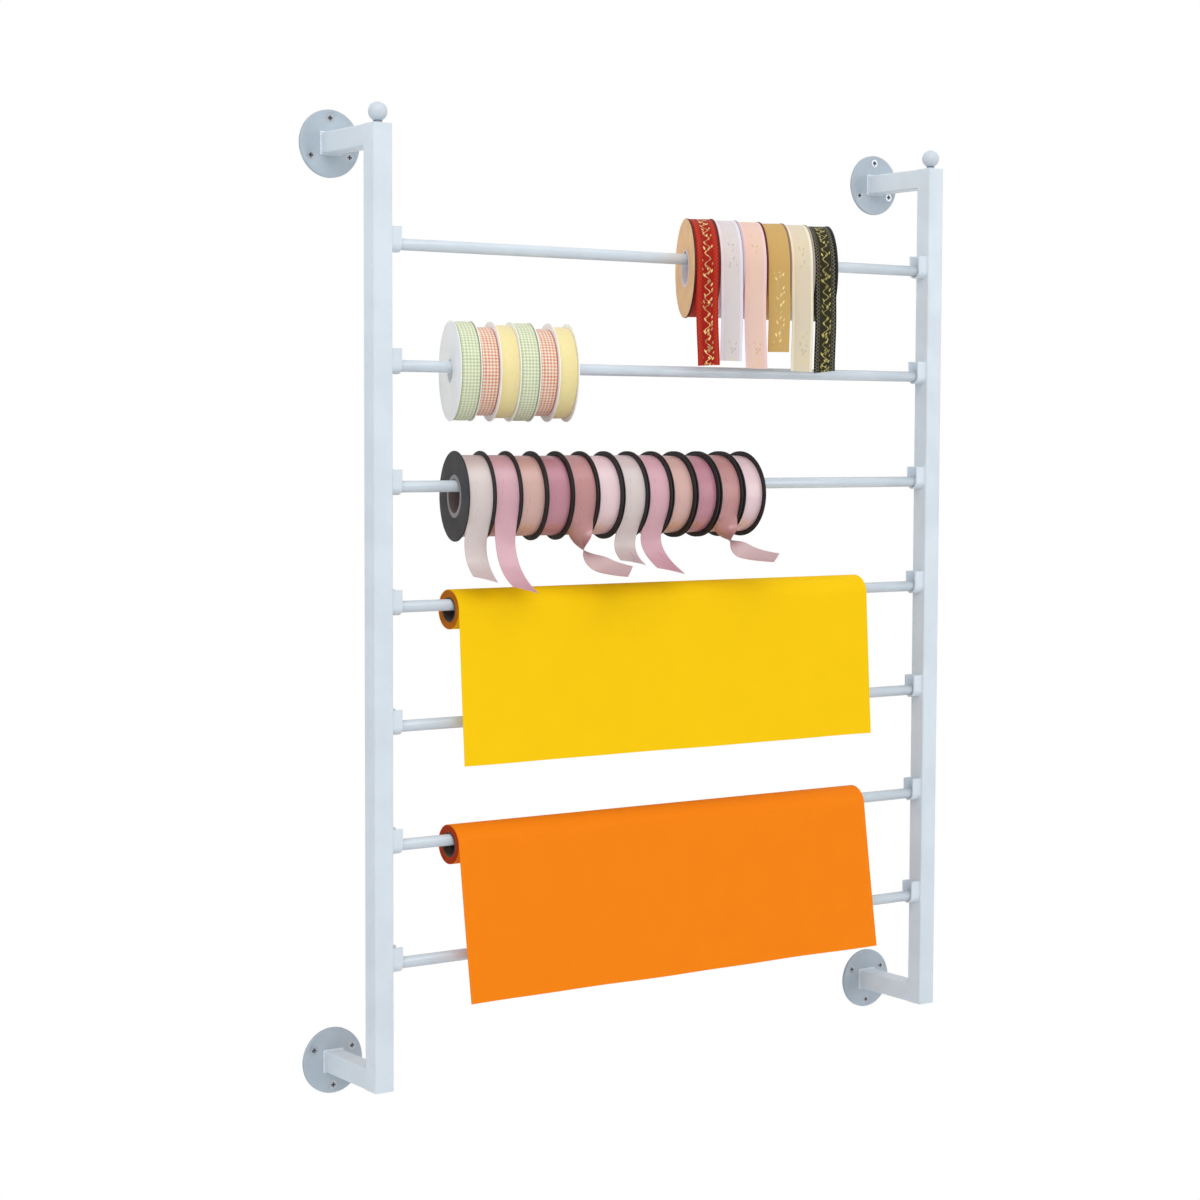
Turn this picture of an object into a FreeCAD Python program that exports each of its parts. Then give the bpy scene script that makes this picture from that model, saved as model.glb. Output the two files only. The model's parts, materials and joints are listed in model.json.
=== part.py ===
import FreeCAD, Part
import Sketcher
import os
from collections import namedtuple
from itertools import accumulate
from math import cos, radians, sin
from FreeCAD import Placement, Rotation, Vector

# A wall rack that dispenses ribbon and wrapping sheet from seven rods, which lift out of open saddles.
# X runs to the right as seen from the front, Y into the wall and Z up, all in millimetres.
# The origin is the middle of the wall-screw pattern, on the face of the wall.

# Driving dimensions. Each is a cell of the sheet "Sizes", and the model is bound to those cells.
SIZES = {
    "fit_clearance": 0.05,  # round a piece that is held in another: an end cap, or a core in its flanges
    # Frame of square tube
    "frame_width": 695,  # over the outer faces of the two uprights
    "frame_depth": 104,  # from the wall to the front face of the uprights
    "tube_side": 20,
    "tube_wall": 1.5,
    "tube_corner": 1.5,  # outer corner radius
    "bottom_margin": 119,  # from the frame's lower end to the lowest rod
    "top_margin": 109,  # from the highest rod to the frame's upper end
    "cap_thickness": 2,  # plates that close the uprights' ends
    # Ball finials
    "finial_ball": 18,
    "finial_neck": 8,
    "finial_gap": 2,  # neck that shows under the ball
    # Wall flanges and their screws
    "flange_diameter": 64,
    "flange_thickness": 3,
    "flange_rim": 0.8,  # rounding of the front edge
    "screw_edge": 8,  # from the flange's edge to a screw's axis
    "screw_bore": 5,
    "screw_countersink": 8.8,
    "screw_head": 8.5,
    "screw_shank": 4.5,  # through the flange
    "screw_thread": 4,  # in the wall, as a plain cylinder
    "screw_length": 35,
    "screw_tip": 5,
    "recess_width": 1.1,
    "recess_span": 4.8,
    "recess_depth": 1.3,
    # Rods and the saddles that they rest in
    "rod_diameter": 11,
    "rod_pitch": 112,
    "rod_end_gap": 1,
    "rod_chamfer": 0.8,
    "saddle_clearance": 0.3,
    "saddle_wall": 2,
    "saddle_length": 11,
    "saddle_rise": 16,  # from the rod's axis to the saddle's lips
    # What hangs on a rod rests on it with this gap
    "seat_gap": 0.3,
    "spool_gap": 0.5,  # between neighbours on one rod
    "side_clearance": 0.3,  # between a ribbon and the flange beside it
    "winding_clearance": 0.1,  # between a core and what is wound on it
    # Kraft-board spools of foil-printed ribbon
    "kraft_reel": 99,
    "kraft_core": 38,
    "kraft_bore": 34,
    "kraft_flange": 2,
    "kraft_ribbon": 22,
    "kraft_skew": 25,  # degrees from the rod's direction
    "kraft_right_gap": 149,  # from the last spool's middle to the right upright
    "foil_winding": 97,
    # White spools of gingham and sheer ribbon
    "white_reel": 94.5,
    "white_core": 26,
    "white_bore": 22,
    "white_flange": 0.8,
    "white_ribbon": 18,
    "white_skew": 18,
    "white_left_gap": 78.4,  # from the left upright to the first spool's middle
    "green_winding": 93,
    "orange_winding": 83.5,
    "yellow_winding": 88,
    # Black spools of satin ribbon
    "black_reel": 86,
    "black_core": 41,
    "black_bore": 32,
    "black_flange": 1.2,
    "black_ribbon": 23.5,
    "black_skew": 12,  # of the first spool
    "black_left_gap": 86.1,
    "satin_winding": 77,
    # Rolls of wrapping sheet
    "roll_diameter": 37.2,
    "roll_core": 24,
    "roll_bore": 21,
    "roll_left_gap": 65.5,  # from the left upright to the roll
    "roll_right_gap": 89.5,
    "sheet_thickness": 0.5,
    "sheet_drop": 146,  # from the roll's axis to the sheet's lower edge
    "yellow_flare": 3.4,  # degrees that the hanging sheet leans out
    "orange_flare": 8,
    # Loose ends of ribbon
    "tail_thickness": 0.6,
    "tail_gap": 0.4,  # between a loose end and the winding that it leaves
    "tail_straight": 18,  # from where a loose end leaves its winding to where it bends
}

ROD_COUNT = 7
KRAFT_COUNT = 6
WHITE_WINDINGS = ("green", "orange", "yellow", "green", "orange", "yellow")
BLACK_COUNT = 12
SCREWS_PER_FLANGE = 3
OVERSHOOT = 1  # how far a cutting tool runs past what it cuts
NO_VOLUME = 1e-6  # cubic millimetres, under which a cut has removed nothing

# A loose end of ribbon: how far below the front it leaves its winding in degrees, how far below the
# spool's axis it ends, how much of the rest it runs before it turns, how far its end leans out past the
# winding's front and drifts along the rod, its twist in degrees, and the shares of its hanging run at
# which the twist starts and ends.
Tail = namedtuple("Tail", "leave drop knee flare drift twist twist_from twist_to", defaults=(0, 0, 1))
FOIL_TAILS = {
    1: Tail(0, 98, 0.5, 2, 0),
    2: Tail(0, 93, 0.5, 2, 0),
    3: Tail(0, 100, 0.5, 2, 0),
    4: Tail(0, 83, 0.5, 2, 0),
    5: Tail(0, 102, 0.5, 2, 0),
    6: Tail(0, 102, 0.5, 4, 0),
}
SATIN_TAILS = {
    1: Tail(27, 76.7, 0.59, 6.7, 2.2, -10, 0, 0.5),
    2: Tail(12.5, 87.6, 0.66, 5.2, 16.5, -19, 0, 0.5),
    5: Tail(22, 71.8, 0.59, 24, 36.9, 197, 0.06, 0.7),
    7: Tail(32, 64.3, 0.56, 11.6, -7.9, -4, 0, 0.8),
    8: Tail(29, 73.6, 0.48, 8.9, 8.6, -2, 0, 0.5),
    11: Tail(17, 62.9, 0.51, 24, 40.1, 194, 0.1, 0.62),
}
HUG_START = 20  # degrees above the front, where a loose end starts to lie along its winding
HUG_STEP = 10
STRAIGHT_STEPS = 3
BEND_STEPS = 15

# Places and lengths that several sub-parts share, as expressions over the sheet
HEIGHT = f"(Sizes.bottom_margin + {ROD_COUNT - 1} * Sizes.rod_pitch + Sizes.top_margin)"
TOP = f"({HEIGHT} / 2)"
UPRIGHT_X = "((Sizes.frame_width - Sizes.tube_side) / 2)"
INNER_X = "(Sizes.frame_width / 2 - Sizes.tube_side)"
UPRIGHT_Y = "(Sizes.tube_side / 2 - Sizes.frame_depth)"
ARM_Z = f"({TOP} - Sizes.tube_side / 2)"
SCREW_CIRCLE = "(Sizes.flange_diameter / 2 - Sizes.screw_edge)"
ROD_LENGTH = f"(2 * {INNER_X} - 2 * Sizes.rod_end_gap)"
SADDLE_BORE = "(Sizes.rod_diameter / 2 + Sizes.saddle_clearance)"

SIDES = {"left": -1, "right": 1}
LEVELS = {"top": 1, "bottom": -1}

doc = FreeCAD.newDocument("ribbon_rack")


def rod_z(row):
    """Height of a rod's axis as an expression. Row 1 is the highest."""
    return f"({TOP} - Sizes.top_margin - {row - 1} * Sizes.rod_pitch)"


def make_sheet():
    """The spreadsheet of driving dimensions."""
    sheet = doc.addObject("Spreadsheet::Sheet", "Sizes")
    for line, (alias, value) in enumerate(SIZES.items(), start=1):
        sheet.set(f"A{line}", alias)
        sheet.set(f"B{line}", str(value))
        sheet.setAlias(f"B{line}", alias)
    doc.recompute()
    return sheet


sizes = make_sheet()


# ---------------------------------------------------------------- helpers


def bind(item, **expressions):
    """Binds properties to expressions. x, y and z stand for the placement's base."""
    places = {"x": "Placement.Base.x", "y": "Placement.Base.y", "z": "Placement.Base.z"}
    for name, expression in expressions.items():
        item.setExpression(places.get(name, name), expression)
    return item


def new_body(name):
    body = doc.addObject("PartDesign::Body", name)
    body.Label = name
    return body


def origin_plane(body, role):
    return next(f for f in body.Origin.OriginFeatures if f.Role == role)


def new_sketch(body, role, name):
    """An empty sketch on one of the body's origin planes."""
    sketch = body.newObject("Sketcher::SketchObject", f"{body.Name}_{name}")
    sketch.AttachmentSupport = [(origin_plane(body, role), "")]
    sketch.MapMode = "FlatFace"
    return sketch


def constrain(sketch, expression, kind, *where):
    """A driving constraint that follows an expression."""
    value = float(sketch.evalExpression(expression))
    index = sketch.addConstraint(Sketcher.Constraint(kind, *where, value))
    sketch.setExpression(f"Constraints[{index}]", expression)


def draw_circle(sketch, radius, y="0"):
    """A circle on the sketch's vertical axis."""
    height = float(sketch.evalExpression(y))
    size = float(sketch.evalExpression(radius))
    circle = sketch.addGeometry(Part.Circle(Vector(0, height, 0), Vector(0, 0, 1), size), False)
    if y == "0":
        sketch.addConstraint(Sketcher.Constraint("Coincident", circle, 3, -1, 1))
    else:
        sketch.addConstraint(Sketcher.Constraint("PointOnObject", circle, 3, -2))
        constrain(sketch, y, "DistanceY", -1, 1, circle, 3)
    constrain(sketch, radius, "Radius", circle)


def draw_polygon(sketch, corners):
    """A closed polygon. Each corner is a pair of expressions, measured from the sketch's origin."""
    points = [Vector(float(sketch.evalExpression(x)), float(sketch.evalExpression(y)), 0) for x, y in corners]
    count = len(points)
    lines = []
    for i in range(count):
        segment = Part.LineSegment(points[i], points[(i + 1) % count])
        lines.append(sketch.addGeometry(segment, False))
    for i, (x, y) in enumerate(corners):
        sketch.addConstraint(Sketcher.Constraint("Coincident", lines[i - 1], 2, lines[i], 1))
        for expression, kind, axis in ((x, "DistanceX", -2), (y, "DistanceY", -1)):
            if expression == "0":
                sketch.addConstraint(Sketcher.Constraint("PointOnObject", lines[i], 1, axis))
            else:
                constrain(sketch, expression, kind, -1, 1, lines[i], 1)


def draw_square(sketch, side):
    low = f"-{side} / 2"
    high = f"{side} / 2"
    draw_polygon(sketch, [(low, low), (high, low), (high, high), (low, high)])


def pad(body, sketch, length):
    feature = body.newObject("PartDesign::Pad", f"{body.Name}_pad")
    feature.Profile = sketch
    feature.setExpression("Length", length)
    doc.recompute()
    return feature


def checked_cut(body, feature, kind):
    """Recomputes after a cut and makes sure that it removed material."""
    doc.recompute()
    if feature.Shape.Volume > feature.BaseFeature.Shape.Volume - NO_VOLUME:
        raise RuntimeError(f"{body.Name}: the {kind} removed nothing")


def pocket_through(body, sketch):
    feature = body.newObject("PartDesign::Pocket", f"{sketch.Name}_pocket")
    feature.Profile = sketch
    feature.Type = "ThroughAll"
    feature.Midplane = True
    checked_cut(body, feature, "pocket")
    return feature


def edge_names(shape, wanted):
    """Names of the edges for which wanted(edge) is true."""
    return [f"Edge{i}" for i, edge in enumerate(shape.Edges, start=1) if wanted(edge)]


def compound(name, members):
    """One node made of several separate solids."""
    group = doc.addObject("Part::Compound", name)
    group.Label = name
    group.Links = members
    return group


def ring(name, outer, bore, length, start):
    """A tube along X with the given outer and bore diameters, from X = start."""
    blanks = []
    spans = ((f"{name}_blank", outer, start, length),
             (f"{name}_drill", bore, f"{start} - {OVERSHOOT}", f"{length} + {2 * OVERSHOOT}"))
    for label, diameter, base, span in spans:
        blank = doc.addObject("Part::Cylinder", label)
        blank.Placement = Placement(Vector(), Rotation(Vector(0, 1, 0), 90))
        bind(blank, Radius=f"{diameter} / 2", Height=span, x=base)
        blanks.append(blank)
    tube = doc.addObject("Part::Cut", name)
    tube.Base, tube.Tool = blanks
    return tube


# ---------------------------------------------------------------- frame


def square_tube(name, length, turn=None):
    """A hollow square tube along its own Z, turned about X where it lies along Y."""
    body = new_body(name)
    outline = new_sketch(body, "XY_Plane", "outline")
    draw_square(outline, "Sizes.tube_side")
    shaft = pad(body, outline, length)
    corners = body.newObject("PartDesign::Fillet", f"{name}_corners")
    flat = float(sizes.tube_side) / 2
    corners.Base = (shaft, edge_names(shaft.Shape, lambda e: e.BoundBox.ZLength > flat))
    corners.setExpression("Radius", "Sizes.tube_corner")
    doc.recompute()
    hollow = new_sketch(body, "XY_Plane", "hollow")
    draw_square(hollow, "(Sizes.tube_side - 2 * Sizes.tube_wall)")
    pocket_through(body, hollow)
    if turn:
        body.Placement = Placement(Vector(), Rotation(Vector(1, 0, 0), turn))
    return body


def make_upright(side):
    upright = square_tube(f"upright_{side}", HEIGHT)
    return bind(upright, x=f"{SIDES[side]} * {UPRIGHT_X}", y=UPRIGHT_Y, z=f"-{TOP}")


def make_arm(level, side):
    """An arm runs from the back of its upright to the front of its wall flange."""
    length = "(Sizes.frame_depth - Sizes.tube_side - Sizes.flange_thickness)"
    arm = square_tube(f"arm_{level}_{side}", length, turn=90)
    return bind(arm, x=f"{SIDES[side]} * {UPRIGHT_X}", y="-Sizes.flange_thickness",
                z=f"{LEVELS[level]} * {ARM_Z}")


def make_end_caps():
    """Plates that close the uprights' ends, flush with them."""
    plates = []
    for side, across in SIDES.items():
        for level, up in LEVELS.items():
            plate = new_body(f"end_cap_{level}_{side}")
            outline = new_sketch(plate, "XY_Plane", "outline")
            draw_square(outline, "(Sizes.tube_side - 2 * Sizes.tube_wall - 2 * Sizes.fit_clearance)")
            pad(plate, outline, "Sizes.cap_thickness")
            base = f"{TOP} - Sizes.cap_thickness" if up > 0 else f"-{TOP}"
            plates.append(bind(plate, x=f"{across} * {UPRIGHT_X}", y=UPRIGHT_Y, z=base))
    return compound("tube_end_caps", plates)


def make_finial(side):
    """A ball on a short neck, on top of an upright."""
    name = f"finial_{side}"
    neck = doc.addObject("Part::Cylinder", f"{name}_neck")
    bind(neck, Radius="Sizes.finial_neck / 2", Height="Sizes.finial_gap + Sizes.finial_ball / 2")
    ball = doc.addObject("Part::Sphere", f"{name}_ball")
    bind(ball, Radius="Sizes.finial_ball / 2", z="Sizes.finial_gap + Sizes.finial_ball / 2")
    finial = doc.addObject("Part::Fuse", name)
    finial.Label = name
    finial.Base = neck
    finial.Tool = ball
    return bind(finial, x=f"{SIDES[side]} * {UPRIGHT_X}", y=UPRIGHT_Y, z=TOP)


def make_flange(level, side):
    """A round plate against the wall with three countersunk holes. A top one has its odd hole up."""
    body = new_body(f"wall_flange_{level}_{side}")
    outline = new_sketch(body, "XZ_Plane", "outline")
    draw_circle(outline, "Sizes.flange_diameter / 2")
    disc = pad(body, outline, "Sizes.flange_thickness")
    rim = body.newObject("PartDesign::Fillet", f"{body.Name}_rim")
    rim.Base = (disc, edge_names(disc.Shape, lambda e: e.BoundBox.YMax < -float(sizes.flange_thickness) / 2))
    rim.setExpression("Radius", "Sizes.flange_rim")
    doc.recompute()
    centre = new_sketch(body, "XZ_Plane", "hole")
    centre.setExpression("AttachmentOffset.Base.z", "Sizes.flange_thickness")
    draw_circle(centre, "Sizes.screw_bore / 2", y=f"{LEVELS[level]} * {SCREW_CIRCLE}")
    doc.recompute()
    hole = body.newObject("PartDesign::Hole", f"{body.Name}_hole")
    hole.Profile = centre
    doc.recompute()
    hole.Threaded = False
    hole.DepthType = "ThroughAll"
    hole.HoleCutType = "Countersink"
    hole.HoleCutCustomValues = True
    hole.HoleCutCountersinkAngle = 90
    hole.setExpression("Diameter", "Sizes.screw_bore")
    hole.setExpression("HoleCutDiameter", "Sizes.screw_countersink")
    checked_cut(body, hole, "hole")
    holes = body.newObject("PartDesign::PolarPattern", f"{body.Name}_holes")
    holes.Originals = [hole]
    holes.Axis = (outline, ["N_Axis"])
    holes.Angle = 360
    holes.Occurrences = SCREWS_PER_FLANGE
    body.Tip = holes
    return bind(body, x=f"{SIDES[side]} * {UPRIGHT_X}", z=f"{LEVELS[level]} * {ARM_Z}")


def make_screw(name, centre_x, centre_z, angle):
    """A countersunk wood screw with a cross recess, whose thread starts at the face of the wall."""
    body = new_body(name)
    outline = new_sketch(body, "XY_Plane", "outline")
    head = "Sizes.screw_head / 2"
    shank = "Sizes.screw_shank / 2"
    thread = "Sizes.screw_thread / 2"
    draw_polygon(outline, [("0", "0"), (head, "0"), (shank, f"{head} - {shank}"),
                           (shank, "Sizes.flange_thickness"), (thread, "Sizes.flange_thickness"),
                           (thread, "Sizes.screw_length - Sizes.screw_tip"), ("0", "Sizes.screw_length")])
    turned = body.newObject("PartDesign::Revolution", f"{name}_turned")
    turned.Profile = outline
    turned.ReferenceAxis = (outline, ["V_Axis"])
    turned.Angle = 360
    doc.recompute()
    cross = new_sketch(body, "XZ_Plane", "cross")
    near = "Sizes.recess_width / 2"
    far = "Sizes.recess_span / 2"
    quarter = [(far, near), (near, near), (near, far)]
    corners = quarter + [(f"-{x}", y) for x, y in reversed(quarter)]
    corners += [(f"-{x}", f"-{y}") for x, y in quarter]
    corners += [(x, f"-{y}") for x, y in reversed(quarter)]
    draw_polygon(cross, corners)
    recess = body.newObject("PartDesign::Pocket", f"{name}_recess")
    recess.Profile = cross
    recess.setExpression("Length", "Sizes.recess_depth")
    checked_cut(body, recess, "recess")
    return bind(body, x=f"{centre_x} + {SCREW_CIRCLE} * cos({angle} * 1deg)", y="-Sizes.flange_thickness",
                z=f"{centre_z} + {SCREW_CIRCLE} * sin({angle} * 1deg)")


def make_screws():
    """Three screws in each wall flange."""
    screws = []
    for side, across in SIDES.items():
        for level, up in LEVELS.items():
            for turn in range(SCREWS_PER_FLANGE):
                angle = up * 90 + turn * 360 // SCREWS_PER_FLANGE
                screws.append(make_screw(f"wall_screw_{level}_{side}_{turn + 1}",
                                         f"{across} * {UPRIGHT_X}", f"{up} * {ARM_Z}", angle))
    return compound("wall_screws", screws)


def draw_saddle(sketch):
    """An open-topped U round the sketch's origin, where the rod's axis is."""
    outer = f"({SADDLE_BORE} + Sizes.saddle_wall)"
    inner = SADDLE_BORE
    far, near, lip = (float(sketch.evalExpression(e)) for e in (outer, inner, "Sizes.saddle_rise"))
    half_turn = (radians(180), radians(360))
    outer_arc = Part.ArcOfCircle(Part.Circle(Vector(), Vector(0, 0, 1), far), *half_turn)
    inner_arc = Part.ArcOfCircle(Part.Circle(Vector(), Vector(0, 0, 1), near), *half_turn)
    bottom = sketch.addGeometry(outer_arc, False)
    seat = sketch.addGeometry(inner_arc, False)
    ends = [(-far, 0), (-far, lip), (-near, lip), (-near, 0), (near, 0), (near, lip), (far, lip), (far, 0)]
    corners = [Vector(x, y, 0) for x, y in ends]
    left = [sketch.addGeometry(Part.LineSegment(corners[i], corners[i + 1]), False) for i in range(3)]
    right = [sketch.addGeometry(Part.LineSegment(corners[i], corners[i + 1]), False) for i in range(4, 7)]
    joints = [(bottom, 1, left[0], 1), (left[0], 2, left[1], 1), (left[1], 2, left[2], 1), (left[2], 2, seat, 1),
              (seat, 2, right[0], 1), (right[0], 2, right[1], 1), (right[1], 2, right[2], 1),
              (right[2], 2, bottom, 2)]
    for joint in joints:
        sketch.addConstraint(Sketcher.Constraint("Coincident", *joint))
    for arc, radius in ((bottom, outer), (seat, inner)):
        sketch.addConstraint(Sketcher.Constraint("Coincident", arc, 3, -1, 1))
        sketch.addConstraint(Sketcher.Constraint("PointOnObject", arc, 1, -1))
        sketch.addConstraint(Sketcher.Constraint("PointOnObject", arc, 2, -1))
        constrain(sketch, radius, "Radius", arc)
    for line in (left[0], left[2], right[0], right[2]):
        sketch.addConstraint(Sketcher.Constraint("Vertical", line))
    for line in (left[1], right[1]):
        constrain(sketch, "Sizes.saddle_rise", "DistanceY", -1, 1, line, 1)
        sketch.addConstraint(Sketcher.Constraint("Horizontal", line))


def make_saddles(side):
    """One welded saddle for each rod's end, as a pattern up the inner face of the upright."""
    body = new_body(f"rod_saddles_{side}")
    body.AllowCompound = True
    outline = new_sketch(body, "YZ_Plane", "outline")
    draw_saddle(outline)
    saddle = pad(body, outline, "Sizes.saddle_length")
    saddles = body.newObject("PartDesign::LinearPattern", f"{body.Name}_row")
    saddles.Originals = [saddle]
    saddles.Direction = (outline, ["V_Axis"])
    saddles.Occurrences = ROD_COUNT
    saddles.setExpression("Length", f"{ROD_COUNT - 1} * Sizes.rod_pitch")
    body.Tip = saddles
    start = f"-{INNER_X}" if side == "left" else f"{INNER_X} - Sizes.saddle_length"
    return bind(body, x=start, y=UPRIGHT_Y, z=rod_z(ROD_COUNT))


def make_rod(row):
    """A round bar that spans the two uprights."""
    body = new_body(f"rod_{row}")
    outline = new_sketch(body, "YZ_Plane", "outline")
    draw_circle(outline, "Sizes.rod_diameter / 2")
    bar = pad(body, outline, ROD_LENGTH)
    ends = body.newObject("PartDesign::Chamfer", f"{body.Name}_ends")
    ends.Base = (bar, edge_names(bar.Shape, lambda e: isinstance(e.Curve, Part.Circle)))
    ends.setExpression("Size", "Sizes.rod_chamfer")
    return bind(body, x=f"-{ROD_LENGTH} / 2", y=UPRIGHT_Y, z=rod_z(row))


# ---------------------------------------------------------------- spools


def spool_width(kind):
    """Overall width of a spool as an expression: its ribbon, the clearances and two flanges."""
    return f"(Sizes.{kind}_ribbon + 2 * Sizes.side_clearance + 2 * Sizes.{kind}_flange)"


def hang_drop(kind, skew):
    """How far a spool's axis hangs below the rod's.

    A spool turned about the vertical meets the rod at the two ends of its bore, where the rod lies to one
    side by half the width times the tangent of that angle.
    """
    reach = f"(Sizes.{kind}_bore / 2 - Sizes.seat_gap - Sizes.rod_diameter / 2 / cos({skew} * 1deg))"
    aside = f"({spool_width(kind)} / 2 * tan({skew} * 1deg))"
    return f"sqrt({reach} ^ 2 - {aside} ^ 2)"


def reel_rings(name, kind):
    """Two flanges and the core tube between them, as separate solids."""
    width = spool_width(kind)
    flange = f"Sizes.{kind}_flange"
    core = f"Sizes.{kind}_core"
    bore = f"Sizes.{kind}_bore"
    collar = f"({core} + 2 * Sizes.fit_clearance)"
    outer = f"Sizes.{kind}_reel"
    return [ring(f"{name}_flange_left", outer, collar, flange, f"-{width} / 2"),
            ring(f"{name}_flange_right", outer, collar, flange, f"{width} / 2 - {flange}"),
            ring(f"{name}_core", core, bore, width, f"-{width} / 2")]


def winding(name, kind, diameter):
    """The ribbon wound on a core."""
    bore = f"(Sizes.{kind}_core + 2 * Sizes.winding_clearance)"
    ribbon = f"Sizes.{kind}_ribbon"
    return ring(f"{name}_winding", diameter, bore, ribbon, f"-{ribbon} / 2")


def hang(spool, kind, row, x, skew):
    """Hangs a spool on its rod with its right side turned out from the wall."""
    spool.Placement = Placement(Vector(), Rotation(Vector(0, 0, -1), 1))
    spool.setExpression("Placement.Rotation.Angle", skew)
    return bind(spool, x=x, y=UPRIGHT_Y, z=f"{rod_z(row)} - {hang_drop(kind, skew)}")


def make_kraft_row(row):
    """Kraft reels, and their ribbons as nodes of their own."""
    skew = "Sizes.kraft_skew"
    pitch = f"(({spool_width('kraft')} + Sizes.spool_gap) / cos({skew} * 1deg))"
    reels = []
    ribbons = []
    for number in range(1, KRAFT_COUNT + 1):
        x = f"{INNER_X} - Sizes.kraft_right_gap - {KRAFT_COUNT - number} * {pitch}"
        reel = compound(f"kraft_reel_{number}", reel_rings(f"kraft_{number}", "kraft"))
        ribbon = compound(f"foil_ribbon_{number}",
                          [winding(f"kraft_{number}", "kraft", "Sizes.foil_winding")])
        reels.append(hang(reel, "kraft", row, x, skew))
        ribbons.append(hang(ribbon, "kraft", row, x, skew))
    return reels, ribbons


def make_white_row(row):
    skew = "Sizes.white_skew"
    pitch = f"(({spool_width('white')} + Sizes.spool_gap) / cos({skew} * 1deg))"
    spools = []
    for number, colour in enumerate(WHITE_WINDINGS, start=1):
        x = f"Sizes.white_left_gap - {INNER_X} + {number - 1} * {pitch}"
        rings = reel_rings(f"white_{number}", "white")
        rings.append(winding(f"white_{number}", "white", f"Sizes.{colour}_winding"))
        spools.append(hang(compound(f"white_spool_{number}", rings), "white", row, x, skew))
    return spools


def make_black_row(row):
    """These fan out: the first is turned by the whole skew and the last not at all."""
    step = f"(Sizes.black_skew / {BLACK_COUNT - 1})"
    spread = f"Sizes.black_reel / 2 * sin({step} * 1deg)"
    pitch = f"(({spool_width('black')} + Sizes.spool_gap + {spread}) / cos(Sizes.black_skew * 1deg))"
    spools = []
    for number in range(1, BLACK_COUNT + 1):
        x = f"Sizes.black_left_gap - {INNER_X} + {number - 1} * {pitch}"
        skew = f"({BLACK_COUNT - number} * {step})"
        rings = reel_rings(f"black_{number}", "black")
        rings.append(winding(f"black_{number}", "black", "Sizes.satin_winding"))
        spools.append(hang(compound(f"black_spool_{number}", rings), "black", row, x, skew))
    return spools


# ---------------------------------------------------------------- loose ends and sheets


def strip_section(centre, along, across, width, thickness):
    """A rectangle square to the direction along, with its long side towards across."""
    along = along.normalize()
    across = (across - along * across.dot(along)).normalize()
    normal = along.cross(across)
    corners = [centre + across * (i * width / 2) + normal * (j * thickness / 2)
               for i, j in ((-1, -1), (1, -1), (1, 1), (-1, 1))]
    return Part.makePolygon(corners + corners[:1])


def hanging_run(start, tangent, radius, tail):
    """Where a loose end runs below its winding: places, each with the direction of the run there."""
    straight = tangent * float(sizes.tail_straight)
    end = Vector(tail.drift, -radius - tail.flare, -tail.drop)
    bend = start + straight + tangent * (tail.knee * (end - start - straight).Length)
    run = [(start + straight * (i / STRAIGHT_STEPS), tangent) for i in range(1, STRAIGHT_STEPS)]
    start += straight
    for i in range(BEND_STEPS + 1):
        part = i / BEND_STEPS
        centre = start * (1 - part) ** 2 + bend * (2 * part * (1 - part)) + end * part**2
        run.append((centre, (bend - start) * (1 - part) + (end - bend) * part))
    return run


def tail_shape(kind, winding_diameter, tail):
    """A loose end in its spool's own frame, with the spool's axis on X and its front at -Y."""
    radius = winding_diameter / 2 + float(sizes.tail_gap) + float(sizes.tail_thickness) / 2
    size = (float(sizes.get(f"{kind}_ribbon")), float(sizes.tail_thickness))
    sections = []
    steps = round((HUG_START + tail.leave) / HUG_STEP)
    for i in range(steps + 1):
        angle = radians(HUG_START - i * (HUG_START + tail.leave) / steps)
        place = Vector(0, -radius * cos(angle), radius * sin(angle))
        tangent = Vector(0, -sin(angle), -cos(angle))
        sections.append(strip_section(place, tangent, Vector(1, 0, 0), *size))
    run = hanging_run(place, tangent, radius, tail)
    reached = list(accumulate((there - here).Length for here, there in
                              zip([place] + [centre for centre, _ in run], [centre for centre, _ in run])))
    for (centre, along), length in zip(run, reached):
        turned = (length / reached[-1] - tail.twist_from) / (tail.twist_to - tail.twist_from)
        turned = min(1, max(0, turned))
        twist = Rotation(along, tail.twist * turned * turned * (3 - 2 * turned))
        across = Vector(1, 0, 0) - along * (along.x / along.Length**2)
        sections.append(strip_section(centre, along, twist.multVec(across), *size))
    return Part.makeLoft(sections, True, True)


def make_tails(name, kind, winding_alias, spools, tails):
    """The loose ends of one row, each in the frame of its spool."""
    strips = []
    for number, tail in tails.items():
        strip = tail_shape(kind, float(sizes.get(winding_alias)), tail)
        strip.Placement = spools[number - 1].Placement
        strips.append(strip)
    node = doc.addObject("Part::Feature", name)
    node.Label = name
    node.Shape = Part.makeCompound(strips)
    return node


def make_roll(colour, row):
    """A cardboard core with sheet wound on it, which hangs on its rod."""
    length = f"(2 * {INNER_X} - Sizes.roll_left_gap - Sizes.roll_right_gap)"
    wound_bore = "(Sizes.roll_core + 2 * Sizes.winding_clearance)"
    core = ring(f"{colour}_core", "Sizes.roll_core", "Sizes.roll_bore", length, "0")
    wound = ring(f"{colour}_wound", "Sizes.roll_diameter", wound_bore, length, "0")
    drop = "(Sizes.roll_bore / 2 - Sizes.seat_gap - Sizes.rod_diameter / 2)"
    roll = compound(f"{colour}_roll", [core, wound])
    return bind(roll, x=f"Sizes.roll_left_gap - {INNER_X}", y=UPRIGHT_Y, z=f"{rod_z(row)} - {drop}")


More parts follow.
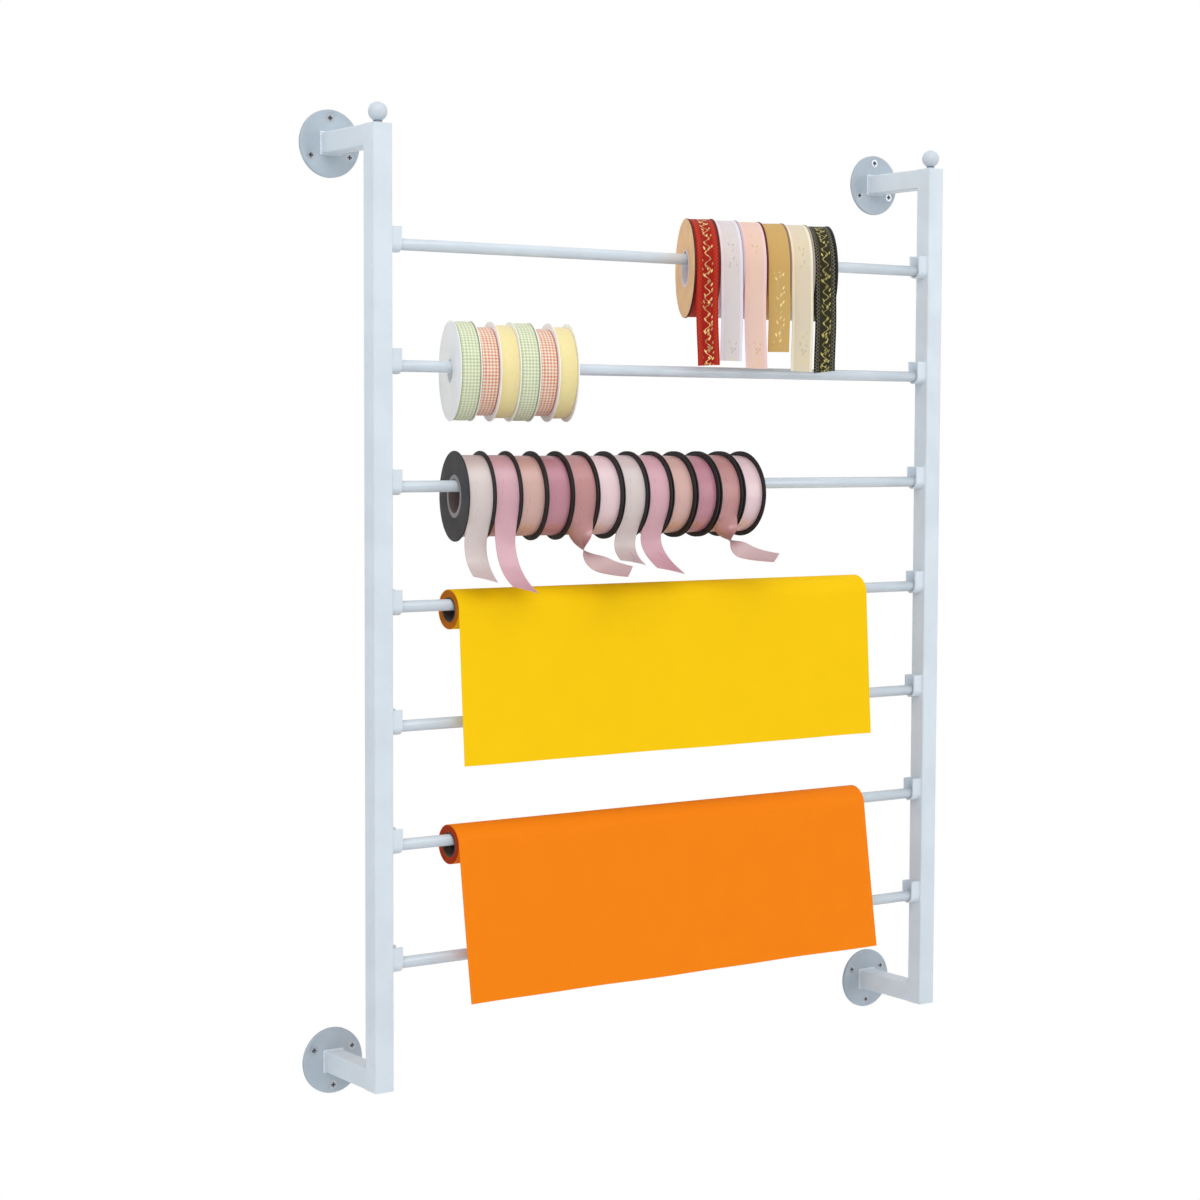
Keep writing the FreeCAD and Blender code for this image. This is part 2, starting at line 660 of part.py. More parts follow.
def make_hanging_sheet(colour, roll):
    """The loose sheet lies over the front of its roll from the top and hangs down, leaning out a little."""
    lean = radians(float(sizes.get(f"{colour}_flare")))
    inner = float(sizes.roll_diameter) / 2 + float(sizes.seat_gap)
    outer = inner + float(sizes.sheet_thickness)
    fall = Vector(0, -sin(lean), -cos(lean))

    def on_roll(radius, angle):
        return Vector(0, -radius * cos(angle), radius * sin(angle))

    def lower_end(radius):
        return on_roll(radius, lean) + fall * ((float(sizes.sheet_drop) + inner * sin(lean)) / cos(lean))

    top = radians(90)
    middle = (top + lean) / 2
    outer_arc = Part.Arc(on_roll(outer, top), on_roll(outer, middle), on_roll(outer, lean)).toShape()
    inner_arc = Part.Arc(on_roll(inner, lean), on_roll(inner, middle), on_roll(inner, top)).toShape()
    front = Part.makeLine(on_roll(outer, lean), lower_end(outer))
    hem = Part.makeLine(lower_end(outer), lower_end(inner))
    back = Part.makeLine(lower_end(inner), on_roll(inner, lean))
    edge = Part.makeLine(on_roll(inner, top), on_roll(outer, top))
    profile = Part.Face(Part.Wire([outer_arc, front, hem, back, inner_arc, edge]))
    node = doc.addObject("Part::Feature", f"{colour}_sheet")
    node.Label = f"{colour}_sheet"
    node.Shape = profile.extrude(Vector(roll.Shape.BoundBox.XLength, 0, 0))
    node.Placement = roll.Placement
    return node


# ---------------------------------------------------------------- assembly


def check(nodes):
    """Stops if any object failed to recompute or any sub-part has no valid shape."""
    failed = [o.Name for o in doc.Objects if {"Invalid", "Error"} & set(o.State)]
    bad = [n.Label for n in nodes if n.Shape.isNull() or not n.Shape.isValid()]
    if failed or bad:
        raise RuntimeError(f"objects that failed: {failed}; sub-parts with a bad shape: {bad}")


def build():
    """Makes every sub-part and returns them in a list."""
    nodes = [make_upright(side) for side in SIDES]
    nodes += [make_arm(level, side) for level in LEVELS for side in SIDES]
    nodes += [make_flange(level, side) for level in LEVELS for side in SIDES]
    nodes += [make_finial(side) for side in SIDES]
    nodes += [make_saddles(side) for side in SIDES]
    nodes += [make_end_caps(), make_screws()]
    nodes += [make_rod(row) for row in range(1, ROD_COUNT + 1)]
    kraft_reels, foil_ribbons = make_kraft_row(1)
    white_spools = make_white_row(2)
    black_spools = make_black_row(3)
    yellow_roll = make_roll("yellow", 4)
    orange_roll = make_roll("orange", 6)
    doc.recompute()
    nodes += kraft_reels + foil_ribbons + white_spools + black_spools
    nodes += [make_tails("foil_tails", "kraft", "foil_winding", kraft_reels, FOIL_TAILS),
              make_tails("satin_tails", "black", "satin_winding", black_spools, SATIN_TAILS)]
    nodes += [yellow_roll, make_hanging_sheet("yellow", yellow_roll)]
    nodes += [orange_roll, make_hanging_sheet("orange", orange_roll)]
    doc.recompute()
    return nodes


sub_parts = build()
check(sub_parts)
os.makedirs("parts", exist_ok=True)
for sub_part in sub_parts:
    sub_part.Shape.exportStep(f"parts/{sub_part.Label}.step")
print(f"{len(sub_parts)} sub-parts written")
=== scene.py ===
"""Looks for a wall rack that dispenses ribbon and wrapping sheet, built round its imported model.

Lengths are in metres. X runs to the right, Y into the wall and Z up, from the middle of the wall screws.
"""

import json
import logging
import math
import random
from collections.abc import Callable, Iterable, Sequence
from dataclasses import dataclass, field
from enum import Enum
from functools import partialmethod
from typing import Any, ClassVar

import bmesh
import bpy
from mathutils import Matrix, Quaternion, Vector


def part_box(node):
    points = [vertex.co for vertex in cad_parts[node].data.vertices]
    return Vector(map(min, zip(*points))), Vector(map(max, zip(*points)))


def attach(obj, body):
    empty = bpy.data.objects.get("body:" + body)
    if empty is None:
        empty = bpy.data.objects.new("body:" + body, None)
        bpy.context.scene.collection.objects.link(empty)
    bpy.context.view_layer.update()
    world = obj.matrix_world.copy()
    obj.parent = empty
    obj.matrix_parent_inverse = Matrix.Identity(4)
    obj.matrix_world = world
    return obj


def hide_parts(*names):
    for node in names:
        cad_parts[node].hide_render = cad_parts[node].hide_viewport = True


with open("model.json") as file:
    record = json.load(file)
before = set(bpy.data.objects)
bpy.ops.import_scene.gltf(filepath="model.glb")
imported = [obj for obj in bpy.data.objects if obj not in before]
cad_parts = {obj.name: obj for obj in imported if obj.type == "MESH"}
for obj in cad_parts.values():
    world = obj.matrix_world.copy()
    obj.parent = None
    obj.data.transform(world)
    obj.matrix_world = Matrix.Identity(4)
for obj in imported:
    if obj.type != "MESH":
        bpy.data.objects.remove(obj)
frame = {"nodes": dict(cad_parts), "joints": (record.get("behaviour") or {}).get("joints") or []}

log = logging.getLogger("ribbon_rack")
FULL_TURN = 2 * math.pi
MERGE_DISTANCE = 1e-6
TUBE_ROUNDING = 0.0003
RIGHT = Vector((1, 0, 0))
Colour = tuple[float, float, float, float]
Profile = list[tuple[float, float]]
Mesh = bpy.types.Mesh
WHITE: Colour = (1.0, 1.0, 1.0, 1.0)


def paint(*steps: int) -> Colour:
    """A display colour, in steps of 0 to 255, as the linear one that shaders take."""
    shares = (step / 255 for step in steps)
    return (*(s / 12.92 if s <= 0.04045 else ((s + 0.055) / 1.055) ** 2.4 for s in shares), 1.0)


def toned(colour: Colour, scale: float, more: float = 0.0) -> Colour:
    """A colour whose channels are scaled, raised and held to 1."""
    return (*(min(1.0, channel * scale + more) for channel in colour[:3]), 1.0)


# ---- node trees


class Value:
    """A node's output, with the sums that further nodes do on it."""

    def __init__(self, graph: "Graph", socket: bpy.types.NodeSocket) -> None:
        """Keeps the socket and the graph that it is in."""
        self.graph = graph
        self.socket = socket

    def math(self, operation: str, *others: Any) -> "Value":
        """The result of a Math node on this value and others."""
        return self.graph.add("ShaderNodeMath", self, *others, operation=operation)[0]

    __add__ = partialmethod(math, "ADD")
    __sub__ = partialmethod(math, "SUBTRACT")
    __mul__ = partialmethod(math, "MULTIPLY")
    __truediv__ = partialmethod(math, "DIVIDE")

    def split(self) -> tuple["Value", "Value", "Value"]:
        """A vector's three numbers."""
        parts = self.graph.add("ShaderNodeSeparateXYZ", self)
        return parts[0], parts[1], parts[2]

    def mix(self, low: Any, high: Any) -> "Value":
        """A colour between low and high, by this share."""
        return self.graph.add("ShaderNodeMix", data_type="RGBA").feed({0: self, 6: low, 7: high})[2]

    def spread(self, low: float, high: float, to_low: float, to_high: float, smooth: bool = False) -> "Value":
        """This value carried from one range to another, and held at its ends."""
        kind = "SMOOTHSTEP" if smooth else "LINEAR"
        return self.graph.add("ShaderNodeMapRange", self, low, high, to_low, to_high, interpolation_type=kind)[0]

    def noise(self, scale: Any, detail: float = 2.0) -> "Value":
        """Noise from 0 to 1 at this place."""
        return self.graph.add("ShaderNodeTexNoise", Vector=self, Scale=scale, Detail=detail)[0]

    def streaks(self, squeeze: float, scale: float, detail: float) -> "Value":
        """Noise that is drawn out along the cloth, at this place on it."""
        across, along, _ = self.split()
        return self.graph.join(across * squeeze, along, 0.0).noise(scale, detail)


class Placed:
    """A node in a graph. Indexing it gives its outputs."""

    def __init__(self, graph: "Graph", node: bpy.types.Node) -> None:
        """Keeps the node and the graph that it is in."""
        self.graph = graph
        self.node = node

    def __getitem__(self, key: int | str) -> Value:
        """The output of that place or name."""
        return Value(self.graph, self.node.outputs[key])

    def feed(self, places: dict[int, Any] | None = None, **named: Any) -> "Placed":
        """Feeds inputs with values of the graph or with constants.

        Args:
            places: what feeds inputs by their place.
            **named: what feeds inputs by their name, with underscores for spaces.

        Returns:
            The node itself.
        """
        inputs = {**(places or {}), **{name.replace("_", " "): value for name, value in named.items()}}
        for key, value in inputs.items():
            if isinstance(value, Value):
                self.graph.tree.links.new(value.socket, self.node.inputs[key])
            else:
                self.node.inputs[key].default_value = value
        return self


class Graph:
    """A node tree under construction."""

    def __init__(self, tree: bpy.types.NodeTree) -> None:
        """Keeps the tree."""
        self.tree = tree

    def add(self, kind: str, *places: Any, **named: Any) -> Placed:
        """Adds a node.

        Args:
            kind: the node's type, such as "ShaderNodeMath".
            *places: what feeds its first inputs, in order.
            **named: its properties, in small letters, and what feeds its other inputs.

        Returns:
            The new node.
        """
        node = self.tree.nodes.new(kind)
        for name in [name for name in named if name.islower()]:
            setattr(node, name, named.pop(name))
        return Placed(self, node).feed(dict(enumerate(places)), **named)

    def join(self, *values: Any) -> Value:
        """A vector made of three numbers."""
        return self.add("ShaderNodeCombineXYZ", *values)[0]

    def bump(self, height: Value, distance: float) -> Value:
        """The normal of a surface whose height of 1 stands this far proud."""
        return self.add("ShaderNodeBump", Height=height, Distance=distance, Strength=1.0)[0]

    def solid_place(self) -> Value:
        """Where a point is in the piece."""
        return self.add("ShaderNodeTexCoord")["Object"]

    def cloth_place(self) -> Value:
        """Where a point is on the ribbon or sheet: metres across it and metres along it."""
        return self.add("ShaderNodeUVMap", uv_map="UVMap")[0]

    def seen_white(self, other: Value, kind: str) -> Value:
        """A shader that the camera sees as white, and that lights the scene as another.

        Args:
            other: the shader for all other rays.
            kind: the type of the white one.

        Returns:
            The mixed shader.
        """
        rays = self.add("ShaderNodeLightPath")
        seen = rays["Is Camera Ray"].math("MAXIMUM", rays["Is Transmission Ray"])
        return self.add("ShaderNodeMixShader", seen, other, self.add(kind, Color=WHITE, Strength=1.0)[0])[0]


Outputs = dict[str, Value]
Fill = Callable[[Placed], Outputs]
SOCKET_TYPES = {"Where": "NodeSocketVector", "Finish": "NodeSocketMaterial", "Segments": "NodeSocketInt",
                "Seed": "NodeSocketInt", **dict.fromkeys(("Source", "Geometry"), "NodeSocketGeometry")}
_trees: dict[str, bpy.types.NodeTree] = {}


def tree_of(name: str, kind: str, inputs: Sequence[str], fill: Fill) -> bpy.types.NodeTree:
    """A node group with named sockets, made the first time that it is asked for.

    Args:
        name: the group's name.
        kind: "ShaderNodeTree" or "GeometryNodeTree".
        inputs: the inputs' names, which are numbers unless SOCKET_TYPES says otherwise.
        fill: puts the nodes in, given the group's input node, and gives back its named outputs.

    Returns:
        The node group.
    """
    if name not in _trees:
        tree = _trees[name] = bpy.data.node_groups.new(name, kind)

        def add_sockets(labels: Iterable[str], way: str) -> None:
            """Adds the group's sockets of one direction."""
            for label in labels:
                tree.interface.new_socket(label, in_out=way, socket_type=SOCKET_TYPES.get(label, "NodeSocketFloat"))

        add_sockets(inputs, "INPUT")
        graph = Graph(tree)
        made = fill(graph.add("NodeGroupInput"))
        add_sockets(made, "OUTPUT")
        graph.add("NodeGroupOutput").feed(**made)
    return _trees[name]


# ---- shared shader groups


class Effect(Enum):
    """The shader node groups that several finishes share, each with the names of its inputs."""

    GRAIN = ("Mottle Scale", "Grain Scale")
    WEAVE = ("Pitch",)
    SELVEDGE = ("Width", "Inset", "Line")
    ZIGZAG = ("Width", "Inset", "Line", "Swing", "Period")
    SCROLL = ("Width", "Period", "Swing", "Leaf Scale", "Fill", "Stem", "Gate Period", "Gate Phase", "Gate")
    CHECKS = ("Check",)

    def place(self, where: Value, **given: Any) -> Placed:
        """Places this group in a material, for the place on the surface and its other inputs."""
        tree = tree_of(self.name.lower(), "ShaderNodeTree", ("Where", *self.value), EFFECTS[self])
        return where.graph.add("ShaderNodeGroup", node_tree=tree, Where=where, **given)


def fill_grain(given: Placed) -> Outputs:
    """Slow mottling over the surface, and a fine grain for bump."""
    mottle = given["Where"].noise(given["Mottle Scale"], 4.0).spread(0.3, 0.7, 0.0, 1.0, smooth=True)
    return {"Mottle": mottle, "Grain": given["Where"].noise(given["Grain Scale"], 3.0)}


def fill_weave(given: Placed) -> Outputs:
    """Threads that cross over and under each other.

    Args:
        given: the group's input.

    Returns:
        Their height.
    """
    across, along, _ = given["Where"].split()
    over, under = ((at / given["Pitch"] * FULL_TURN).math("SINE") for at in (across, along))
    return {"Height": over * under * 0.5 + 0.5}


def from_edge(given: Placed) -> tuple[Value, Value]:
    """How far a point is from the nearest edge of a ribbon, and its place along it."""
    across, along, _ = given["Where"].split()
    return across.math("MINIMUM", given["Width"] - across), along


def fill_selvedge(given: Placed) -> Outputs:
    """A line along each edge of a ribbon."""
    share = (from_edge(given)[0] - given["Inset"]).math("ABSOLUTE") / given["Line"]
    return {"Mask": share.spread(0.35, 0.65, 1.0, 0.0, smooth=True)}


def fill_zigzag(given: Placed) -> Outputs:
    """A thin zigzag along each edge of a ribbon.

    Args:
        given: the group's input.

    Returns:
        Its mask.
    """
    inside, along = from_edge(given)
    middle = (along / given["Period"]).math("PINGPONG", 0.5) * given["Swing"] + given["Inset"]
    share = (inside - middle).math("ABSOLUTE") / given["Line"]
    return {"Mask": share.spread(0.3, 0.7, 1.0, 0.0, smooth=True)}


def fill_scroll(given: Placed) -> Outputs:
    """A plain running motif: a wavy stem down the middle with small leaves strewn beside it.

    Args:
        given: the group's input, whose gate leaves the motif out of parts of the length.

    Returns:
        A mask of the motif, and a tone for each leaf.
    """
    across, along, _ = given["Where"].split()
    centred = given["Width"] * -0.5 + across
    swing = (along / given["Period"] * FULL_TURN).math("SINE") * given["Swing"]
    stem = (centred - swing).math("ABSOLUTE").spread(0.0003, 0.0009, 0.85, 0.0, smooth=True)
    beside = centred.math("ABSOLUTE")
    spots = given.graph.join(centred * 1.25, beside * 1.1 + along, 0.0)
    cells = given.graph.add("ShaderNodeTexVoronoi", voronoi_dimensions="2D", Vector=spots,
                            Scale=given["Leaf Scale"], Randomness=0.75)
    pick, glint, _ = cells["Color"].split()
    leaf = cells["Distance"].spread(0.22, 0.36, 1.0, 0.0, smooth=True) * pick.math("LESS_THAN", given["Fill"])
    leaves = leaf * beside.spread(0.0046, 0.0058, 1.0, 0.0, smooth=True)
    marks = (stem * given["Stem"]).math("MAXIMUM", leaves)
    gate = ((along / given["Gate Period"] + given["Gate Phase"]) * FULL_TURN).math("SINE") - given["Gate"]
    return {"Mask": marks * gate.spread(-0.1, 0.1, 0.0, 1.0), "Glint": glint}


def fill_checks(given: Placed) -> Outputs:
    """Gingham: soft-edged coloured bands both ways, which are strongest where they cross.

    Args:
        given: the group's input.

    Returns:
        How much of the colour shows.
    """
    waves = ((at / given["Check"]).math("PINGPONG", 1.0) for at in given["Where"].split()[:2])
    across, along = (wave.spread(0.42, 0.58, 0.0, 0.5, smooth=True) for wave in waves)
    return {"Level": across + along}


EFFECTS: dict[Effect, Fill] = {
    Effect.GRAIN: fill_grain, Effect.WEAVE: fill_weave, Effect.SELVEDGE: fill_selvedge,
    Effect.ZIGZAG: fill_zigzag, Effect.SCROLL: fill_scroll, Effect.CHECKS: fill_checks,
}


# ---- finishes


_materials: dict[str, bpy.types.Material] = {}


@dataclass(frozen=True)
class Finish:
    """A surface finish. A subclass draws it, and the material is made once."""

    name: str
    colour: Colour
    roughness: float = 0.5
    fixed: ClassVar[dict[str, float]] = {}

    def material(self) -> bpy.types.Material:
        """The finish's material, made on first use.

        Returns:
            The material.
        """
        if self.name not in _materials:
            made = _materials[self.name] = bpy.data.materials.new(self.name)
            made.use_nodes = True
            made.diffuse_color = self.colour
            graph = Graph(made.node_tree)
            shader = Placed(graph, next(n for n in made.node_tree.nodes if n.type == "BSDF_PRINCIPLED"))
            shader.feed(Base_Color=self.colour, Roughness=self.roughness, **self.fixed)
            shader.feed(**self.draw(graph))
        return _materials[self.name]

    def draw(self, graph: Graph) -> dict[str, Any]:
        """Adds this finish's own nodes to a graph, and gives back what feeds its shader."""
        raise NotImplementedError

    def gloss(self, by: Value, low: float, high: float, start: float = 0.0, end: float = 1.0) -> Value:
        """A roughness that varies round the finish's own as a value goes from start to end."""
        return by.spread(start, end, self.roughness + low, self.roughness + high)


@dataclass(frozen=True)
class Grained(Finish):
    """A surface with slow mottling and a fine grain."""

    scales: tuple[float, float] = (22.0, 750.0)
    tone: tuple[float, float] = (0.93, 0.0)
    uneven: tuple[float, float] = (-0.04, 0.06)
    depth: float = 0.00006

    def draw(self, graph: Graph) -> dict[str, Any]:
        """Adds mottling, unevenness and grain."""
        return self.grained(graph.solid_place())

    def grained(self, where: Value) -> dict[str, Any]:
        """Adds mottling, unevenness and grain.

        Args:
            where: the place of a point on the surface.

        Returns:
            What feeds its shader.
        """
        grain = Effect.GRAIN.place(where, Mottle_Scale=self.scales[0], Grain_Scale=self.scales[1])
        tone = grain["Mottle"].mix(self.colour, toned(self.colour, *self.tone))
        fed = {"Base_Color": tone, "Normal": where.graph.bump(grain["Grain"], self.depth)}
        if any(self.uneven):
            fed["Roughness"] = self.gloss(grain["Mottle"], *self.uneven)
        return fed


@dataclass(frozen=True)
class PowderCoat(Grained):
    """Pale powder coat on steel: orange peel, and a little unevenness of tone."""

    fixed = {"Coat_Roughness": 0.1}
    coat: float = 0.0

    def draw(self, graph: Graph) -> dict[str, Any]:
        """Adds a clear coat to the grain."""
        return {**super().draw(graph), "Coat_Weight": self.coat}


@dataclass(frozen=True)
class MouldedPlastic(Grained):
    """Moulded plastic with a fine spark-eroded texture and slight wear."""

    scales: tuple[float, float] = (35.0, 1500.0)
    tone: tuple[float, float] = (1.12, 0.004)
    uneven: tuple[float, float] = (-0.05, 0.07)
    depth: float = 0.00003


@dataclass(frozen=True)
class WrappingSheet(Grained):
    """Coloured wrapping sheet: even, matt, with faint pulp clouds and fine felt marks."""

    fixed = {"Specular_IOR_Level": 0.15}
    scales: tuple[float, float] = (30.0, 1400.0)
    tone: tuple[float, float] = (0.985, 0.0)
    uneven: tuple[float, float] = (0.0, 0.0)
    depth: float = 0.00002

    def draw(self, graph: Graph) -> dict[str, Any]:
        """Adds clouds and felt marks, by the place on the sheet."""
        return self.grained(graph.cloth_place())


@dataclass(frozen=True)
class PlatedSteel(Finish):
    """Plated steel with faint turning marks, painted shade inside the drives of its screws, threaded in the wall."""

    fixed = {"Metallic": 1.0}
    head_face: float = -0.003
    drive_end: float = -0.0016
    pitch: float = 0.0018

    def draw(self, graph: Graph) -> dict[str, Any]:
        """Adds the metal's unevenness, the painted shade in the drives and the threads.

        Args:
            graph: the material's graph.

        Returns:
            What feeds its shader.
        """
        where = graph.solid_place()
        depth = where.split()[1]
        # Painted shade: the drive recess, from just below the head's face to the drive's end, is darkened nearly to
        # black.
        sunk = (depth.spread(self.head_face + 0.0001, self.head_face + 0.0004, 0.0, 1.0)
                * depth.spread(self.drive_end, self.drive_end + 0.0003, 1.0, 0.0))
        grain = Effect.GRAIN.place(where, Mottle_Scale=160.0, Grain_Scale=2600.0)
        thread = (depth * (FULL_TURN / self.pitch)).math("SINE") * depth.spread(0.0, 0.0005, 0.0, 1.0)
        return {"Base_Color": sunk.mix(self.colour, toned(self.colour, 0.12)),
                "Roughness": self.gloss(grain["Mottle"], -0.06, 0.12),
                "Normal": graph.bump(thread + grain["Grain"] * 0.1, 0.0003)}


@dataclass(frozen=True)
class Board(Finish):
    """Kraft or white board: pulp fibres and flecks."""

    fleck: Colour = (0.2, 0.1, 0.04, 1.0)
    flecks: float = 0.35

    def draw(self, graph: Graph) -> dict[str, Any]:
        """Adds fibres, flecks and a soft nap.

        Args:
            graph: the material's graph.

        Returns:
            What feeds its shader.
        """
        where = graph.solid_place()
        grain = Effect.GRAIN.place(where, Mottle_Scale=60.0, Grain_Scale=900.0)
        drawn_out = graph.add("ShaderNodeVectorMath", where, (1.0, 1.0, 6.0), operation="MULTIPLY")[0]
        fibre = drawn_out.noise(420.0, 5.0).spread(0.52, 0.66, 0.0, self.flecks, smooth=True)
        tone = grain["Mottle"].mix(self.colour, toned(self.colour, 0.9))
        return {"Base_Color": fibre.mix(tone, self.fleck), "Normal": graph.bump(grain["Grain"] + fibre, 0.00008)}


@dataclass(frozen=True)
class Ribbon(Finish):
    """A finish with a ribbon's width, for its edges."""

    width: float = 0.018

    def edge_line(self, where: Value, inset: float, line: float) -> Value:
        """A line along each edge, this far in and this wide."""
        return Effect.SELVEDGE.place(where, Width=self.width, Inset=inset, Line=line)["Mask"]


@dataclass(frozen=True)
class Satin(Ribbon):
    """Satin ribbon: fine warp threads, a lustrous face that deepens where it turns away, a firm edge."""

    fixed = {"Specular_IOR_Level": 0.9, "Sheen_Weight": 0.1}
    width: float = 0.0235
    lustre: float = 0.04
    deepening: tuple[float, float, float] = (0.74, 0.6, 0.64)

    def draw(self, graph: Graph) -> dict[str, Any]:
        """Adds threads, lustre and edges.

        Args:
            graph: the material's graph.

        Returns:
            What feeds its shader.
        """
        where = graph.cloth_place()
        threads = where.streaks(36.0, 110.0, 3.0)
        edge = self.edge_line(where, 0.0, 0.0011)
        deep = (*(c * share for c, share in zip(self.colour, self.deepening)), 1.0)
        facing = graph.add("ShaderNodeLayerWeight", Blend=0.4)["Facing"]
        tone = facing.spread(0.2, 0.8, 0.0, 1.0).mix(self.colour, deep)
        tone = threads.spread(0.35, 0.65, 0.0, 0.1).mix(tone, deep)
        return {"Base_Color": (edge * 0.25).mix(tone, deep), "Metallic": self.lustre,
                "Roughness": self.gloss(where.streaks(4.0, 24.0, 2.0), -0.04, 0.06, 0.3, 0.7),
                "Normal": graph.bump(threads + edge, 0.000005)}


@dataclass(frozen=True)
class FoilPrint(Ribbon):
    """Woven ribbon with a plain scroll motif printed in metal foil."""

    fixed = {"Specular_IOR_Level": 0.2}
    foil: Colour = paint(255, 226, 150)
    panel: Colour | None = None
    trim: Colour | None = None
    edge: Colour | None = None
    fill: float = 0.7
    stem: float = 0.3
    shine: float = 1.0
    gate: float = -1.2
    gate_period: float = 0.14
    gate_phase: float = 0.0
    width: float = 0.022

    def draw(self, graph: Graph) -> dict[str, Any]:
        """Adds the cloth, its panel and trim, and the foil.

        Args:
            graph: the material's graph.

        Returns:
            What feeds its shader.
        """
        where = graph.cloth_place()
        weave = Effect.WEAVE.place(where, Pitch=0.0006)["Height"]
        cloth = (weave * 0.6).mix(toned(self.colour, 0.8), self.colour)
        if self.edge:
            cloth = (self.edge_line(where, 0.0014, 0.0024) * 0.7).mix(cloth, self.edge)
        if self.panel:
            cloth = self.edge_line(where, self.width / 2, self.width * 0.56).mix(cloth, self.panel)
        if self.trim:
            zigzag = Effect.ZIGZAG.place(where, Width=self.width, Inset=0.0013, Line=0.0012, Swing=0.0046,
                                         Period=0.0038)["Mask"]
            lines = zigzag.math("MAXIMUM", self.edge_line(where, 0.0045, 0.0009) * 0.4)
            cloth = (lines * 0.85).mix(cloth, self.trim)
        scroll = Effect.SCROLL.place(where, Width=self.width, Period=0.011, Swing=0.0026, Leaf_Scale=215.0,
                                     Fill=self.fill, Stem=self.stem, Gate_Period=self.gate_period,
                                     Gate_Phase=self.gate_phase, Gate=self.gate)
        marks = scroll["Mask"] * where.noise(420.0, 3.0).spread(0.3, 0.62, 0.55, 1.0) * self.shine
        foil = scroll["Glint"].spread(0.25, 0.65, 0.0, 1.0).mix(toned(self.foil, 0.5), self.foil)
        return {"Base_Color": marks.mix(cloth, foil), "Metallic": marks * 0.6,
                "Roughness": marks.spread(0.0, 1.0, self.roughness, 0.35),
                "Normal": graph.bump(weave + marks, 0.00006)}


@dataclass(frozen=True)
class Gingham(Ribbon):
    """Sheer gingham ribbon with a darker wire edge."""

    fixed = {"Sheen_Weight": 0.2}
    light: Colour = paint(244, 244, 232)
    edge: Colour = paint(90, 110, 70)
    check: float = 0.0016

    def draw(self, graph: Graph) -> dict[str, Any]:
        """Adds checks, weave and the wire edges.

        Args:
            graph: the material's graph.

        Returns:
            What feeds its shader.
        """
        where = graph.cloth_place()
        wire = self.edge_line(where, 0.0004, 0.0012)
        tone = Effect.CHECKS.place(where, Check=self.check)["Level"].mix(self.light, self.colour)
        tone = where.noise(90.0, 2.0).spread(0.35, 0.7, 0.0, 0.25).mix(tone, self.light)
        weave = Effect.WEAVE.place(where, Pitch=0.0005)["Height"]
        return {"Base_Color": (wire * 0.6).mix(tone, self.edge), "Normal": graph.bump(weave + wire * 2.0, 0.00006)}


@dataclass(frozen=True)
class Sheer(Ribbon):
    """Sheer ribbon: thin, fibrous and lustrous."""

    fixed = {"Sheen_Weight": 0.3}

    def draw(self, graph: Graph) -> dict[str, Any]:
        """Adds long pale fibre streaks, partly fibre texture and partly painted sheen, and a pale edge.

        Args:
            graph: the material's graph.

        Returns:
            What feeds its shader.
        """
        where = graph.cloth_place()
        fibre = where.streaks(9.0, 190.0, 5.0)
        pale = toned(self.colour, 0.55, 0.42)
        # Partly painted sheen: the streaks lighten the ribbon towards a paler tone along its fibres.
        tone = fibre.spread(0.38, 0.66, 0.0, 0.4).mix(self.colour, pale)
        edge = self.edge_line(where, 0.0, 0.0016) * 0.5
        return {"Base_Color": edge.mix(tone, pale), "Normal": graph.bump(fibre, 0.0001)}


@dataclass(frozen=True)
class SheetEdge(Finish):
    """The edges of wound sheet, in a darker, deeper tone than the sheet, which is painted shade: fine layers with a
    dark line of painted shade between them.
    """

    fixed = {"Specular_IOR_Level": 0.2}
    layer: float = 0.0005

    def draw(self, graph: Graph) -> dict[str, Any]:
        """Adds a dark line of painted shade for each layer, by its distance from the roll's axis.

        Args:
            graph: the material's graph.

        Returns:
            What feeds its shader.
        """
        wave = (graph.cloth_place().split()[0] / self.layer).math("PINGPONG", 1.0)
        share = wave * graph.solid_place().noise(260.0, 3.0).spread(0.3, 0.7, 0.5, 1.0)
        return {"Base_Color": share.mix(toned(self.colour, 0.55), self.colour), "Normal": graph.bump(wave, 0.0001)}


FRAME_COAT = PowderCoat("frame_powder_coat", paint(222, 232, 240), 0.38)
# Painted shade: the flanges take a darker copy of the frame's powder coat.
FLANGE_COAT_PAINTED_SHADE = PowderCoat("flange_powder_coat_painted_shade", paint(181, 194, 204), 0.4)
FINIAL_COAT = PowderCoat("finial_powder_coat", paint(209, 219, 227), 0.35)
# Painted shade: a dark coat for the thin rings round the finials' necks, under their balls.
NECK_PAINTED_SHADE = PowderCoat("neck_painted_shade", paint(84, 88, 94), 0.5)
ROD_COAT = PowderCoat("rod_powder_coat", paint(214, 224, 232), 0.2, depth=0.00002, coat=0.5)
SCREW_PLATE = PlatedSteel("screw_plating", paint(200, 205, 211), 0.35)
KRAFT = Board("kraft_board", paint(250, 204, 152), 0.75, flecks=0.15)
